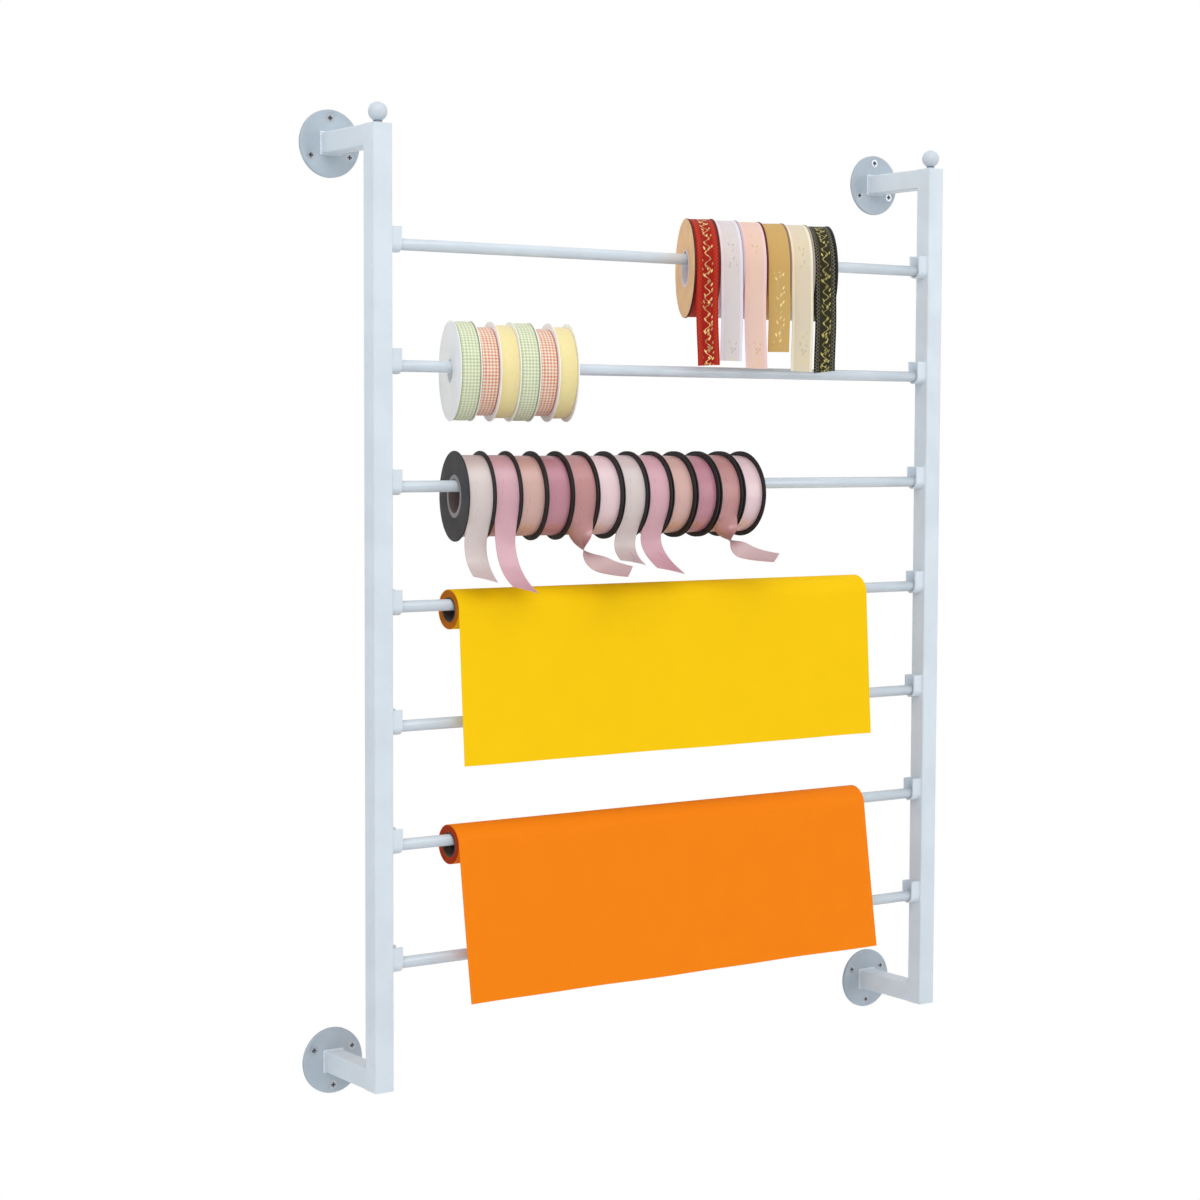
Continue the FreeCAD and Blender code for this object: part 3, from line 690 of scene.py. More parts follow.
# Painted shade: the kraft reels' rims and inner flange faces take a darker board colour for each reel. It is tinted
# by that reel's own ribbon as a painted reflected colour. The board is the same on every reel.
KRAFT_RIMS_PAINTED_SHADE = tuple(Board(f"kraft_rim_painted_shade_{number}", paint(*steps), 0.8, flecks=0.15) for number, steps in enumerate((
    (84, 30, 26), (196, 186, 188), (86, 38, 40), (150, 120, 110), (172, 162, 150), (38, 34, 28)), start=1))
CORE_BOARD = Board("white_core_board", paint(240, 228, 236), 0.7, fleck=paint(200, 180, 190), flecks=0.2)
ROLL_BOARD = Board("grey_core_board", paint(74, 64, 60), 0.8)
WHITE_PLASTIC = MouldedPlastic("white_plastic", paint(252, 251, 248), 0.35)
BLACK_PLASTIC = MouldedPlastic("black_plastic", paint(38, 37, 39))
# Painted shade: a darker copy of the black plastic for the flanges' rims and inner faces.
BLACK_RIM_PAINTED_SHADE = MouldedPlastic("black_plastic_rim_painted_shade", paint(20, 18, 20))
GREY_HUB = MouldedPlastic("grey_hub", paint(138, 131, 135))
BROWN_BORE = Board("brown_bore", paint(116, 98, 96), 0.8, flecks=0.15)

FOIL_RIBBONS = (
    FoilPrint("foil_red", paint(184, 24, 2), 0.6, panel=paint(160, 18, 2), trim=paint(192, 70, 40), fill=0.6,
              stem=1.0),
    FoilPrint("foil_lilac", paint(236, 226, 226), 0.6, foil=paint(226, 206, 150), edge=paint(238, 230, 248),
              shine=0.55, gate=0.5, gate_period=0.11, gate_phase=0.823),
    FoilPrint("foil_pink", paint(252, 216, 198), 0.6, foil=paint(246, 206, 140), edge=paint(250, 206, 212),
              shine=0.55, gate=0.77, gate_period=0.113, gate_phase=0.93),
    FoilPrint("foil_gold", paint(220, 180, 108), 0.6, foil=paint(255, 236, 170), gate=0.0, gate_period=0.16,
              gate_phase=0.897),
    FoilPrint("foil_cream", paint(240, 226, 198), 0.6, foil=paint(240, 220, 140), edge=paint(250, 242, 216),
              shine=0.55, gate=0.454, gate_period=0.1, gate_phase=0.7),
    FoilPrint("foil_black", paint(22, 20, 16), 0.6, foil=paint(216, 202, 124), panel=paint(44, 41, 20),
              trim=paint(128, 124, 102), fill=0.6, stem=1.0),
)
GINGHAM_GREEN = Gingham("gingham_green", paint(184, 196, 142), 0.6, light=paint(238, 242, 216),
                        edge=paint(140, 158, 100))
GINGHAM_ORANGE = Gingham("gingham_orange", paint(214, 122, 86), 0.6, light=paint(252, 234, 212),
                         edge=paint(200, 110, 76))
SHEER_YELLOW = Sheer("sheer_yellow", paint(242, 224, 150))
SATIN_SHADES = {"ivory": paint(220, 206, 201), "rose": paint(218, 169, 179), "peach": paint(216, 174, 164),
                "mauve": paint(194, 132, 147), "dusty": paint(194, 138, 136), "blush": paint(237, 209, 212)}
SATIN_FACES = [Satin(f"satin_{shade}", colour, 0.29) for shade, colour in SATIN_SHADES.items()] * 2
SATIN_REVERSES = [Satin(f"satin_{shade}_reverse", toned(colour, 0.7, 0.3), 0.5, lustre=0.0)
                  for shade, colour in SATIN_SHADES.items()] * 2
YELLOW_SHEET = WrappingSheet("yellow_wrap", paint(255, 206, 0), 0.8)
# Painted shade: the rolls' ends take their sheet's colour deepened towards red.
YELLOW_EDGE_SHADE = SheetEdge("yellow_wrap_edge_shade", paint(255, 150, 16), 0.7)
ORANGE_SHEET = WrappingSheet("orange_wrap", paint(252, 134, 2), 0.7)
ORANGE_EDGE_SHADE = SheetEdge("orange_wrap_edge_shade", paint(236, 82, 24), 0.7)


# ---- geometry trees


def in_finish(given: Placed, geometry: Value) -> Outputs:
    """A tree's output: real geometry, in the finish that the tree is given."""
    real = given.graph.add("GeometryNodeRealizeInstances", geometry)[0]
    return {"Geometry": given.graph.add("GeometryNodeSetMaterial", Geometry=real, Material=given["Finish"])[0]}


def fill_lathe(given: Placed) -> Outputs:
    """Turns a profile about X. A profile point's place is its X, its radius, and its place across the cloth.

    Args:
        given: the tree's input.

    Returns:
        The turned geometry.
    """
    graph = given.graph
    count = graph.add("GeometryNodeAttributeDomainSize", Geometry=given["Source"])["Point Count"]
    around = given["Segments"] + 1.0
    grid = graph.add("GeometryNodeMeshGrid", Vertices_X=count, Vertices_Y=around)["Mesh"]
    index = graph.add("GeometryNodeInputIndex")[0]
    row = ((index + 0.5) / around).math("FLOOR")
    along, radius, across = graph.add("GeometryNodeSampleIndex", data_type="FLOAT_VECTOR", Geometry=given["Source"],
                                      Value=graph.add("GeometryNodeInputPosition")[0], Index=row)[0].split()
    turn = (index - row * around) * FULL_TURN / given["Segments"]
    place = graph.join(along, radius * turn.math("COSINE"), radius * turn.math("SINE"))
    shaped = graph.add("GeometryNodeSetPosition", Geometry=grid, Position=place)[0]
    unrolled = graph.add("GeometryNodeFieldOnDomain", graph.join(across, turn * given["Unroll Radius"], 0.0),
                         data_type="FLOAT_VECTOR", domain="POINT")[0]
    mapped = graph.add("GeometryNodeStoreNamedAttribute", data_type="FLOAT2", domain="CORNER", Geometry=shaped,
                       Name="UVMap", Value=unrolled)[0]
    return in_finish(given, graph.add("GeometryNodeMergeByDistance", Geometry=mapped, Distance=MERGE_DISTANCE)[0])


def fill_beads(given: Placed) -> Outputs:
    """A weld bead along each seam: overlapping flattened drops, each a little different.

    Args:
        given: the tree's input.

    Returns:
        The beads' geometry.
    """
    graph = given.graph
    seam = graph.add("GeometryNodeMeshToCurve", Mesh=given["Source"])[0]
    points = graph.add("GeometryNodeCurveToPoints", mode="LENGTH", Curve=seam, Length=given["Spacing"])
    drop = graph.add("GeometryNodeMeshUVSphere", Segments=8, Rings=5, Radius=1.0)["Mesh"]
    size = graph.add("FunctionNodeRandomValue", data_type="FLOAT", Seed=given["Seed"]).feed({2: 0.82, 3: 1.12})[1]
    scale = size * given["Bead"]
    beads = graph.add("GeometryNodeInstanceOnPoints", Points=points["Points"], Instance=drop,
                      Rotation=points["Rotation"], Scale=graph.join(scale * 0.8, scale * 0.9, scale))[0]
    real = graph.add("GeometryNodeRealizeInstances", beads)[0]
    return in_finish(given, graph.add("GeometryNodeSetShadeSmooth", Geometry=real)[0])


def fill_spiral(given: Placed) -> Outputs:
    """The edge of a wound sheet: one spiral strip that stands a little proud of the roll's end.

    Args:
        given: the tree's input.

    Returns:
        The strip's geometry.
    """
    graph = given.graph
    coil = graph.add("GeometryNodeCurveSpiral", Resolution=48, Rotations=given["Turns"], Height=0.0,
                     Start_Radius=given["Inner Radius"], End_Radius=given["Outer Radius"])[0]
    section = graph.add("GeometryNodeCurvePrimitiveQuadrilateral", Width=given["Layer"], Height=given["Layer"])[0]
    strip = graph.add("GeometryNodeCurveToMesh", Curve=coil, Profile_Curve=section, Fill_Caps=True)[0]
    return in_finish(given, graph.add("GeometryNodeTransform", Geometry=strip, Rotation=(0.0, math.pi / 2, 0.0))[0])


class Maker(Enum):
    """The Geometry Nodes trees that make repeated and turned shapes, each with the names of its inputs."""

    LATHE = ("Segments", "Unroll Radius")
    BEADS = ("Spacing", "Bead", "Seed")
    SPIRAL = ("Turns", "Inner Radius", "Outer Radius", "Layer")

    def mesh(self, source: Mesh, finish: Finish, **given: Any) -> Mesh:
        """Runs the tree on a mesh.

        Args:
            source: the mesh that goes in, which is removed.
            finish: what the result is made of.
            **given: the tree's other inputs, with underscores for spaces.

        Returns:
            A plain mesh.
        """
        tree = tree_of(self.name.lower(), "GeometryNodeTree", ("Source", *self.value, "Finish"), MAKERS[self])
        places = {s.name: s.identifier for s in tree.interface.items_tree if s.in_out == "INPUT"}
        worker = put("worker", source)
        modifier = worker.modifiers.new("maker", "NODES")
        modifier.node_group = tree
        for label, value in {**given, "Finish": finish.material()}.items():
            modifier[places[label.replace("_", " ")]] = value
        graph = bpy.context.evaluated_depsgraph_get()
        made = bpy.data.meshes.new_from_object(worker.evaluated_get(graph), depsgraph=graph)
        bpy.data.objects.remove(worker)
        bpy.data.meshes.remove(source)
        made.materials.clear()
        made.materials.append(finish.material())
        made.polygons.foreach_set("material_index", [0] * len(made.polygons))
        return made


MAKERS: dict[Maker, Fill] = {Maker.LATHE: fill_lathe, Maker.BEADS: fill_beads, Maker.SPIRAL: fill_spiral}


# ---- meshes


def put(name: str, data: bpy.types.ID) -> bpy.types.Object:
    """A new object of the scene.

    Args:
        name: its name.
        data: its mesh, lamp or camera.

    Returns:
        The object.
    """
    made = bpy.data.objects.new(name, data)
    bpy.context.scene.collection.objects.link(made)
    return made


def mesh_of(points: Iterable[Sequence[float]], edges: Sequence[Sequence[int]] = (),
            faces: Sequence[Sequence[int]] = (), finish: Finish | None = None) -> Mesh:
    """A mesh of points with edges or faces between them.

    Args:
        points: the points.
        edges: pairs of points' places.
        faces: rings of points' places.
        finish: what it is made of, where that is known.

    Returns:
        The mesh.
    """
    made = bpy.data.meshes.new("mesh")
    made.from_pydata([tuple(point) for point in points], edges, faces)
    if finish:
        made.materials.append(finish.material())
    return made


def joined(parts: Iterable[Mesh]) -> Mesh:
    """One mesh with the faces and materials of several.

    Args:
        parts: the meshes, which are removed.

    Returns:
        The new mesh.
    """
    made = bpy.data.meshes.new("mesh")
    shape = bmesh.new()
    for part in parts:
        first = len(made.materials)
        for material in part.materials:
            made.materials.append(material)
        known = len(shape.faces)
        shape.from_mesh(part)
        shape.faces.ensure_lookup_table()
        for face in shape.faces[known:]:
            face.material_index += first
        bpy.data.meshes.remove(part)
    shape.to_mesh(made)
    shape.free()
    return made


def finish_mesh(mesh: Mesh, sharp_degrees: float = 35.0, merge: bool = False) -> Mesh:
    """Turns faces outwards, and shades smoothly up to an angle.

    Args:
        mesh: the mesh, which is changed.
        sharp_degrees: the angle from which an edge stays sharp.
        merge: whether points that coincide are merged first.

    Returns:
        The same mesh.
    """
    shape = bmesh.new()
    shape.from_mesh(mesh)
    if merge:
        bmesh.ops.remove_doubles(shape, verts=shape.verts, dist=MERGE_DISTANCE)
    bmesh.ops.recalc_face_normals(shape, faces=shape.faces)
    shape.to_mesh(mesh)
    shape.free()
    mesh.shade_smooth()
    mesh.set_sharp_from_angle(angle=math.radians(sharp_degrees))
    return mesh


def bent(start: Vector, knee: Vector, end: Vector, share: float) -> Vector:
    """A point on the curve that leaves start towards knee and comes from there to end."""
    return start * (1 - share) ** 2 + knee * (2 * share * (1 - share)) + end * share**2


def rounded(corners: Profile, radius: float, steps: int = 3) -> Profile:
    """A closed profile with its corners rounded.

    Args:
        corners: the profile's corners.
        radius: the rounding.
        steps: how many edges each rounding has.

    Returns:
        The rounded profile's points.
    """
    out: Profile = []
    for i, corner in enumerate(corners):
        here = Vector(corner)
        start, end = (here + (Vector(corners[j % len(corners)]) - here).normalized() * radius for j in (i - 1, i + 1))
        out += [tuple(bent(start, here, end, step / steps)) for step in range(steps + 1)]
    return out


def ring_profile(start: float, end: float, inner: float, outer: float, rounding: float) -> Profile:
    """The profile of a plain ring with rounded edges."""
    return rounded([(start, inner), (start, outer), (end, outer), (end, inner)], rounding)


def turned(profile: Profile, finish: Finish, segments: int = 96, unroll_radius: float = 1.0,
           width: float = 0.0) -> Mesh:
    """A closed profile turned about X.

    Args:
        profile: the profile's points, as X and radius.
        finish: what it is made of.
        segments: how many steps it has round the axis.
        unroll_radius: the radius at which the pattern along a ribbon is true.
        width: the ribbon's width, which centres the pattern across it.

    Returns:
        The turned mesh.
    """
    points = [(x, r, x + width / 2 if width else r) for x, r in profile + profile[:1]]
    source = mesh_of(points, [(i, i + 1) for i in range(len(profile))])
    return finish_mesh(Maker.LATHE.mesh(source, finish, Segments=segments, Unroll_Radius=unroll_radius))


def paint_second(mesh: Mesh, finish: Finish, chosen: Callable[[Any], bool]) -> Mesh:
    """Gives some faces of a mesh a second finish.

    Args:
        mesh: the mesh.
        finish: the second finish.
        chosen: tells whether a face takes it.

    Returns:
        The same mesh.
    """
    mesh.materials.append(finish.material())
    for face in mesh.polygons:
        face.material_index = int(chosen(face))
    return mesh


@dataclass
class Station:
    """A place along a strip of ribbon or sheet."""

    centre: Vector
    along: Vector
    across: Vector
    distance: float
    thickness: float
    slant: float = 0.0
    cup: float = 0.0

    def point(self, share: float, width: float, side: int) -> Vector:
        """A point of the strip.

        Args:
            share: its share of the width from the middle.
            width: the strip's width.
            side: 1 or -1, for one face or the other.

        Returns:
            The point.
        """
        outward = self.along.cross(self.across).normalized()
        bulge = self.cup * (1 - 4 * share * share) + side * self.thickness / 2
        return self.centre + self.across * (share * width) + self.along * (share * self.slant) + outward * bulge


def wrapped(radius: float, thickness: float, gap: float, wrap: float, settled: float, leave: float, steps: int,
            sunk: float = 0.0) -> list[Station]:
    """A strip's places on its winding, from behind it over the top to where the strip leaves it in front.

    Args:
        radius: the winding's radius.
        thickness: the strip's thickness. It starts at a quarter of that.
        gap: how far off the winding it comes to lie.
        wrap: the angle at which it starts, up from the front.
        settled: the angle from which it has its full thickness and gap.
        leave: the angle at which it leaves.
        steps: how many steps it takes.
        sunk: how deep in the winding it starts.

    Returns:
        The stations.
    """
    out: list[Station] = []
    for i in range(steps + 1):
        angle = wrap + (leave - wrap) * i / steps
        settle = min(1.0, (wrap - angle) / (wrap - settled))
        thin = thickness * (0.25 + 0.75 * settle)
        lift = radius + gap * settle * settle + thin / 2 - sunk * (1 - settle)
        centre = Vector((0, -lift * math.cos(angle), lift * math.sin(angle)))
        distance = out[-1].distance + (centre - out[-1].centre).length if out else 0.0
        out.append(Station(centre, Vector((0, -math.sin(angle), -math.cos(angle))), RIGHT, distance, thin))
    return out


def strip_mesh(stations: Sequence[Station], width: float, columns: int, finish: Finish,
               reverse: Finish | None = None) -> Mesh:
    """A closed strip through the stations.

    Args:
        stations: the places that the strip runs through.
        width: the strip's width.
        columns: how many points it has across.
        finish: what it is made of.
        reverse: the finish of its other face, where that differs.

    Returns:
        The mesh, with a map in metres across and along the strip.
    """
    shares = [j / (columns - 1) - 0.5 for j in range(columns)]
    points = [at.point(share, width, side) for side in (1, -1) for at in stations for share in shares]
    places = [((share + 0.5) * width, at.distance + share * at.slant) for at in stations for share in shares]
    rows = len(stations)
    layer = rows * columns
    faces: list[tuple[int, ...]] = []
    for i in range(rows - 1):
        for a in range(i * columns, (i + 1) * columns - 1):
            faces.append((a, a + 1, a + columns + 1, a + columns))
            faces.append((layer + a + columns, layer + a + columns + 1, layer + a + 1, layer + a))
        for a, way in ((i * columns, 1), ((i + 1) * columns - 1, -1)):
            faces.append((a, a + columns, layer + a + columns, layer + a)[::way])
    for i, way in ((0, 1), (rows - 1, -1)):
        for a in range(i * columns, (i + 1) * columns - 1):
            faces.append((a, a + 1, layer + a + 1, layer + a)[::way])
    made = mesh_of(points, faces=faces, finish=finish)
    if reverse:
        paint_second(made, reverse, lambda face: all(corner >= layer for corner in face.vertices))
    uv_layer = made.uv_layers.new(name="UVMap")
    for loop in made.loops:
        uv_layer.data[loop.index].uv = places[loop.vertex_index % layer]
    return finish_mesh(made, sharp_degrees=50.0)


# ---- placing pieces


def show(name: str, mesh: Mesh, body: str, replaces: Sequence[str] = ()) -> bpy.types.Object:
    """Puts a mesh in the scene as a piece that rides on a body.

    Args:
        name: the piece's name.
        mesh: its mesh, already in place.
        body: the body that it moves with.
        replaces: the nodes that it stands for.

    Returns:
        The piece.
    """
    mesh.name = name
    piece = put(name, mesh)
    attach(piece, body)
    if replaces:
        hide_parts(*replaces)
    log.info("%s: %d faces on %s", name, len(mesh.polygons), body)
    return piece


def dress(node: str, finish: Finish) -> None:
    """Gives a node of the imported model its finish.

    Args:
        node: the node's name.
        finish: its finish.
    """
    materials = frame["nodes"][node].data.materials
    materials.clear()
    materials.append(finish.material())
    log.info("%s: %s", node, finish.name)


def smooth_copy(node: str, finish: Finish) -> Mesh:
    """A copy of a node's mesh with its triangles merged and shaded smoothly.

    Args:
        node: the node's name.
        finish: the copy's finish.

    Returns:
        The copy.
    """
    mesh = frame["nodes"][node].data.copy()
    mesh.materials.clear()
    mesh.materials.append(finish.material())
    return finish_mesh(mesh, merge=True)


@dataclass(frozen=True)
class Hanger:
    """How a spool or roll hangs: the middle of its own axis, and that axis."""

    centre: Vector
    axis: Vector

    @classmethod
    def of(cls, body: str) -> "Hanger":
        """The hanger of a body that spins, from the joint that it spins on."""
        joint = next(j for j in frame["joints"] if j["name"] == f"{body}_spin")
        return cls(Vector(joint["pos_m"]), Vector(joint["axis"]).normalized())

    def place(self, mesh: Mesh) -> Mesh:
        """Carries a mesh to its place.

        Args:
            mesh: the mesh in the spool's own frame, which has its axis on X and its front at -Y.

        Returns:
            The same mesh.
        """
        up = Vector((0, 0, 1))
        turn = Matrix((self.axis, up.cross(self.axis), up)).transposed().to_4x4()
        mesh.transform(Matrix.Translation(self.centre) @ turn)
        return mesh


# ---- frame


@dataclass
class WallFrame:
    """The tubes, flanges, caps, finials, saddles and screws, with the welds that join them."""

    tube: float = 0.020
    saddle_radius: float = 0.0078
    saddle_rise: float = 0.016
    saddle_steps: int = 12
    bead: float = 0.0016
    spacing: float = 0.45
    fine_bead: float = 0.0007
    fine_spacing: float = 0.85
    corner: float = 0.0015
    sleeve_inset: float = 0.00002
    sleeve_lap: float = 0.0005
    neck: float = 0.004
    washer_ends: tuple[float, float] = (0.0020, 0.0027)
    washer_half: float = 0.0003
    seed: int = 7
    rows: int = 7
    sides: tuple[str, str] = ("left", "right")
    corners: tuple[str, ...] = ("top_left", "top_right", "bottom_left", "bottom_right")

    def build(self) -> None:
        """Dresses every node of the frame and adds its joints, its rings of painted shade round the finials' necks,
        and its welds.
        """
        for node in (*(f"upright_{s}" for s in self.sides), *(f"arm_{c}" for c in self.corners), "tube_end_caps"):
            dress(node, FRAME_COAT)
        coats = {f"wall_flange_{c}": FLANGE_COAT_PAINTED_SHADE for c in self.corners}
        coats |= {f"rod_saddles_{s}": FRAME_COAT for s in self.sides}
        coats |= {f"finial_{s}": FINIAL_COAT for s in self.sides}
        for node, coat in coats.items():
            show(f"{node}_coated", smooth_copy(node, coat), "frame", [node])
        show("wall_screws_plated", smooth_copy("wall_screws", SCREW_PLATE), "frame", ["wall_screws"])
        welds = [self.weld(self.flange_seams(), self.bead, self.spacing),
                 self.weld(self.saddle_seams(), self.fine_bead, self.fine_spacing)]
        dressing = {"arm_joints": self.sleeves(), "finial_neck_shade_rings": self.washers(), "weld_beads": welds}
        for name, parts in dressing.items():
            show(name, joined(parts), "frame")

    @staticmethod
    def square(half: float) -> Profile:
        """The corners of a square about the origin."""
        return [(-half, -half), (half, -half), (half, half), (-half, half)]

    def sleeves(self) -> list[Mesh]:
        """Short sleeves that carry each arm's faces across the rounded edge of its upright.

        Returns:
            A mesh for each arm.
        """
        outline = rounded(self.square(self.tube / 2 - self.sleeve_inset), self.corner, 5)
        count = len(outline)
        faces = [(i, (i + 1) % count, count + (i + 1) % count, count + i) for i in range(count)]
        faces += [range(count), range(count, 2 * count)]
        made = []
        for low, high in (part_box(f"arm_{c}") for c in self.corners):
            middle, ends = (low + high) / 2, (low.y - self.corner, low.y + self.sleeve_lap)
            points = [(middle.x + x, y, middle.z + z) for y in ends for x, z in outline]
            made.append(finish_mesh(mesh_of(points, faces=faces, finish=FRAME_COAT)))
        return made

    def washers(self) -> list[Mesh]:
        """A dark ring round each finial's neck, under the ball, which paints the shade there.

        Returns:
            A mesh for each finial.
        """
        made = []
        profile = ring_profile(*self.washer_ends, self.neck - self.washer_half, self.neck + self.washer_half, 0.0001)
        for low, high in (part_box(f"finial_{s}") for s in self.sides):
            ring = turned(profile, NECK_PAINTED_SHADE, 48)
            place = Vector(((low.x + high.x) / 2, (low.y + high.y) / 2, low.z))
            ring.transform(Matrix.Translation(place) @ Matrix.Rotation(-math.pi / 2, 4, "Y"))
            made.append(ring)
        return made

    def flange_seams(self) -> list[list[Vector]]:
        """The closed seams where the arms meet the flanges.

        Returns:
            The seams' points.
        """
        seams = []
        for low, high in (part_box(f"arm_{c}") for c in self.corners):
            middle = Vector(((low.x + high.x) / 2, high.y - self.bead * 0.2, (low.z + high.z) / 2))
            seam = [middle + Vector((x, 0, z)) for x, z in self.square(self.tube / 2)]
            seams.append(seam + seam[:1])
        return seams

    def saddle_seams(self) -> list[list[Vector]]:
        """The seam of each saddle on its upright: down one side, round the bottom and up the other.

        Returns:
            The seams' points.
        """
        turns = [math.pi * i / self.saddle_steps for i in range(self.saddle_steps + 1)]
        line = [(-math.cos(turn) * self.saddle_radius, -math.sin(turn) * self.saddle_radius) for turn in turns]
        line = [(-self.saddle_radius, self.saddle_rise), *line, (self.saddle_radius, self.saddle_rise)]
        seams = []
        for inner in (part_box("upright_right")[0].x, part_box("upright_left")[1].x):
            for row in range(1, self.rows + 1):
                rod_low, rod_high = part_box(f"rod_{row}")
                rod = (rod_low + rod_high) / 2
                seams.append([Vector((inner, rod.y + y, rod.z + z)) for y, z in line])
        return seams

    def weld(self, seams: Sequence[Sequence[Vector]], bead: float, step: float) -> Mesh:
        """Beads along seams.

        Args:
            seams: the seams, each a line of points.
            bead: the beads' radius.
            step: how far apart the beads are, as a share of that radius.

        Returns:
            The beads' mesh.
        """
        points: list[Vector] = []
        edges: list[tuple[int, int]] = []
        for seam in seams:
            closed = seam[0] == seam[-1]
            first, count = len(points), len(seam) - closed
            points += seam[:count]
            edges += [(first + i, first + (i + 1) % count) for i in range(count if closed else count - 1)]
        return Maker.BEADS.mesh(mesh_of(points, edges), FRAME_COAT, Spacing=bead * step, Bead=bead, Seed=self.seed)


@dataclass
class RodSet:
    """The rods, which lie loose in their saddles."""

    count: int = 7

    def build(self) -> None:
        """Gives each rod a smooth coated surface."""
        for node in (f"rod_{row}" for row in range(1, self.count + 1)):
            show(f"{node}_coated", smooth_copy(node, ROD_COAT), node, [node])


# ---- spools


@dataclass
class Reel:
    """The measures of one kind of reel, and the finishes of its flanges, core and bore."""

    radius: float
    core: float
    bore: float
    flange: float
    ribbon: float
    outer: Finish
    hub: Finish
    lining: Finish
    crown: float
    side_gap: float = 0.0003
    clearance: float = 0.0001
    unevenness: float = 0.00025
    shoulder: float = 0.0006
    layers: int = 9
    columns: int = 12
    rounding: float = 0.3
    flange_segments: int = 128
    winding_segments: int = 160
    edge_drop: float = 0.0002
    face_unevenness: tuple[float, float] = (-0.00005, 0.00003)

    @property
    def half(self) -> float:
        """Half the reel's width."""
        return self.ribbon / 2 + self.side_gap + self.flange

    def mesh(self, rim: Finish | None) -> Mesh:
        """The empty reel in its own frame, whose rims and inner faces may take a darker finish that paints shade on
        them.
        """
        return joined([self.flange_mesh(-1, rim), self.flange_mesh(1, rim), self.core_mesh()])

    def flange_mesh(self, way: int, rim: Finish | None) -> Mesh:
        """One flange.

        Args:
            way: -1 for the left flange and 1 for the right one.
            rim: a darker finish that paints shade on the rim and on the face towards the winding, where there is one.

        Returns:
            The flange's mesh, in the reel's own frame.
        """
        near, far = sorted((way * self.half, way * (self.half - self.flange)))
        rounding = self.flange * self.rounding
        disc = turned(ring_profile(near, far, self.core, self.radius, rounding), self.outer, self.flange_segments)
        edge, inward = self.radius - rounding * 0.6, self.half - self.flange * 0.8
        # Painted shade: the rim and the face towards the winding take the darker finish.
        if rim:
            paint_second(disc, rim, lambda face: math.hypot(face.center.y, face.center.z) > edge
                         or way * face.center.x < inward)
        return disc

    def core_mesh(self) -> Mesh:
        """The core tube, with its bore's lining.

        Returns:
            The mesh.
        """
        tube = turned(ring_profile(-self.half, self.half, self.bore, self.core, TUBE_ROUNDING), self.hub)
        return paint_second(tube, self.lining,
                            lambda face: math.hypot(face.center.y, face.center.z) < self.bore + 0.0002)

    def winding_mesh(self, finish: Ribbon, radius: float, seed: int) -> Mesh:
        """The wound ribbon: crowned across its face, with uneven layers at its sides.

        Args:
            finish: the ribbon's finish.
            radius: the winding's radius.
            seed: picks the unevenness.

        Returns:
            The winding's mesh, in the reel's own frame.
        """
        draw = random.Random(seed)
        half = self.ribbon / 2
        inner = self.core + self.clearance
        side = [inner + (radius - self.shoulder - inner) * i / self.layers for i in range(self.layers + 1)]
        left = [(-half + draw.uniform(0, self.unevenness), r) for r in side]
        right = [(half - draw.uniform(0, self.unevenness), r) for r in side]
        face = []
        for share in (2 * i / self.columns - 1 for i in range(self.columns + 1)):
            drop = self.crown * abs(share) ** 3 + (self.edge_drop if abs(share) == 1 else 0.0)
            face.append((share * half, radius - drop + draw.uniform(*self.face_unevenness)))
        return turned(left + face + right[::-1], finish, self.winding_segments, radius, finish.width)


@dataclass
class SpoolRow:
    """A row of reels of one kind, each wound with ribbon. Names have a number in place of their brackets."""

    body: str
    reel: Reel
    windings: Sequence[tuple[Ribbon, float]]
    # Each reel's darker finish that paints shade on its flanges' rims and inner faces, or None.
    rims: Sequence[Finish | None]
    names: tuple[str, str]
    nodes: tuple[str, ...]
    slots: tuple[str, str | None]
    seed: int = 0

    def build(self) -> None:
        """Builds the reels and their windings."""
        for number, ((finish, radius), rim) in enumerate(zip(self.windings, self.rims), start=1):
            body = self.body.format(number)
            meshes = (self.reel.mesh(rim), self.reel.winding_mesh(finish, radius, self.seed + number))
            for i, mesh in enumerate(meshes):
                replaced = [node.format(number) for node in self.nodes[i:i + 1]]
                show(self.names[i].format(number), Hanger.of(body).place(mesh), body, replaced)


KRAFT_ROW = SpoolRow(
    "kraft_spool_{}", Reel(0.0495, 0.019, 0.017, 0.002, 0.022, KRAFT, CORE_BOARD, CORE_BOARD, 0.0001),
    [(ribbon, 0.0485) for ribbon in FOIL_RIBBONS], KRAFT_RIMS_PAINTED_SHADE, ("kraft_reel_{}_board", "foil_winding_{}"),
    ("kraft_reel_{}", "foil_ribbon_{}"), ("kraft_board", None))
WHITE_ROW = SpoolRow(
    "white_spool_{}",
    Reel(0.04725, 0.013, 0.011, 0.0008, 0.018, WHITE_PLASTIC, WHITE_PLASTIC, WHITE_PLASTIC, 0.0006),
    [(GINGHAM_GREEN, 0.0465), (GINGHAM_ORANGE, 0.04175), (SHEER_YELLOW, 0.044)] * 2, [None] * 6,
    ("white_reel_{}", "white_winding_{}"), ("white_spool_{}",), ("white_plastic", "white_plastic"), 20)
BLACK_ROW = SpoolRow(
    "black_spool_{}", Reel(0.043, 0.0205, 0.016, 0.0012, 0.0235, BLACK_PLASTIC, GREY_HUB, BROWN_BORE, 0.0002),
    [(ribbon, 0.0385) for ribbon in SATIN_FACES], [BLACK_RIM_PAINTED_SHADE] * 12, ("black_reel_{}", "satin_winding_{}"),
    ("black_spool_{}",), ("black_plastic", "satin"), 40)


# ---- loose ends


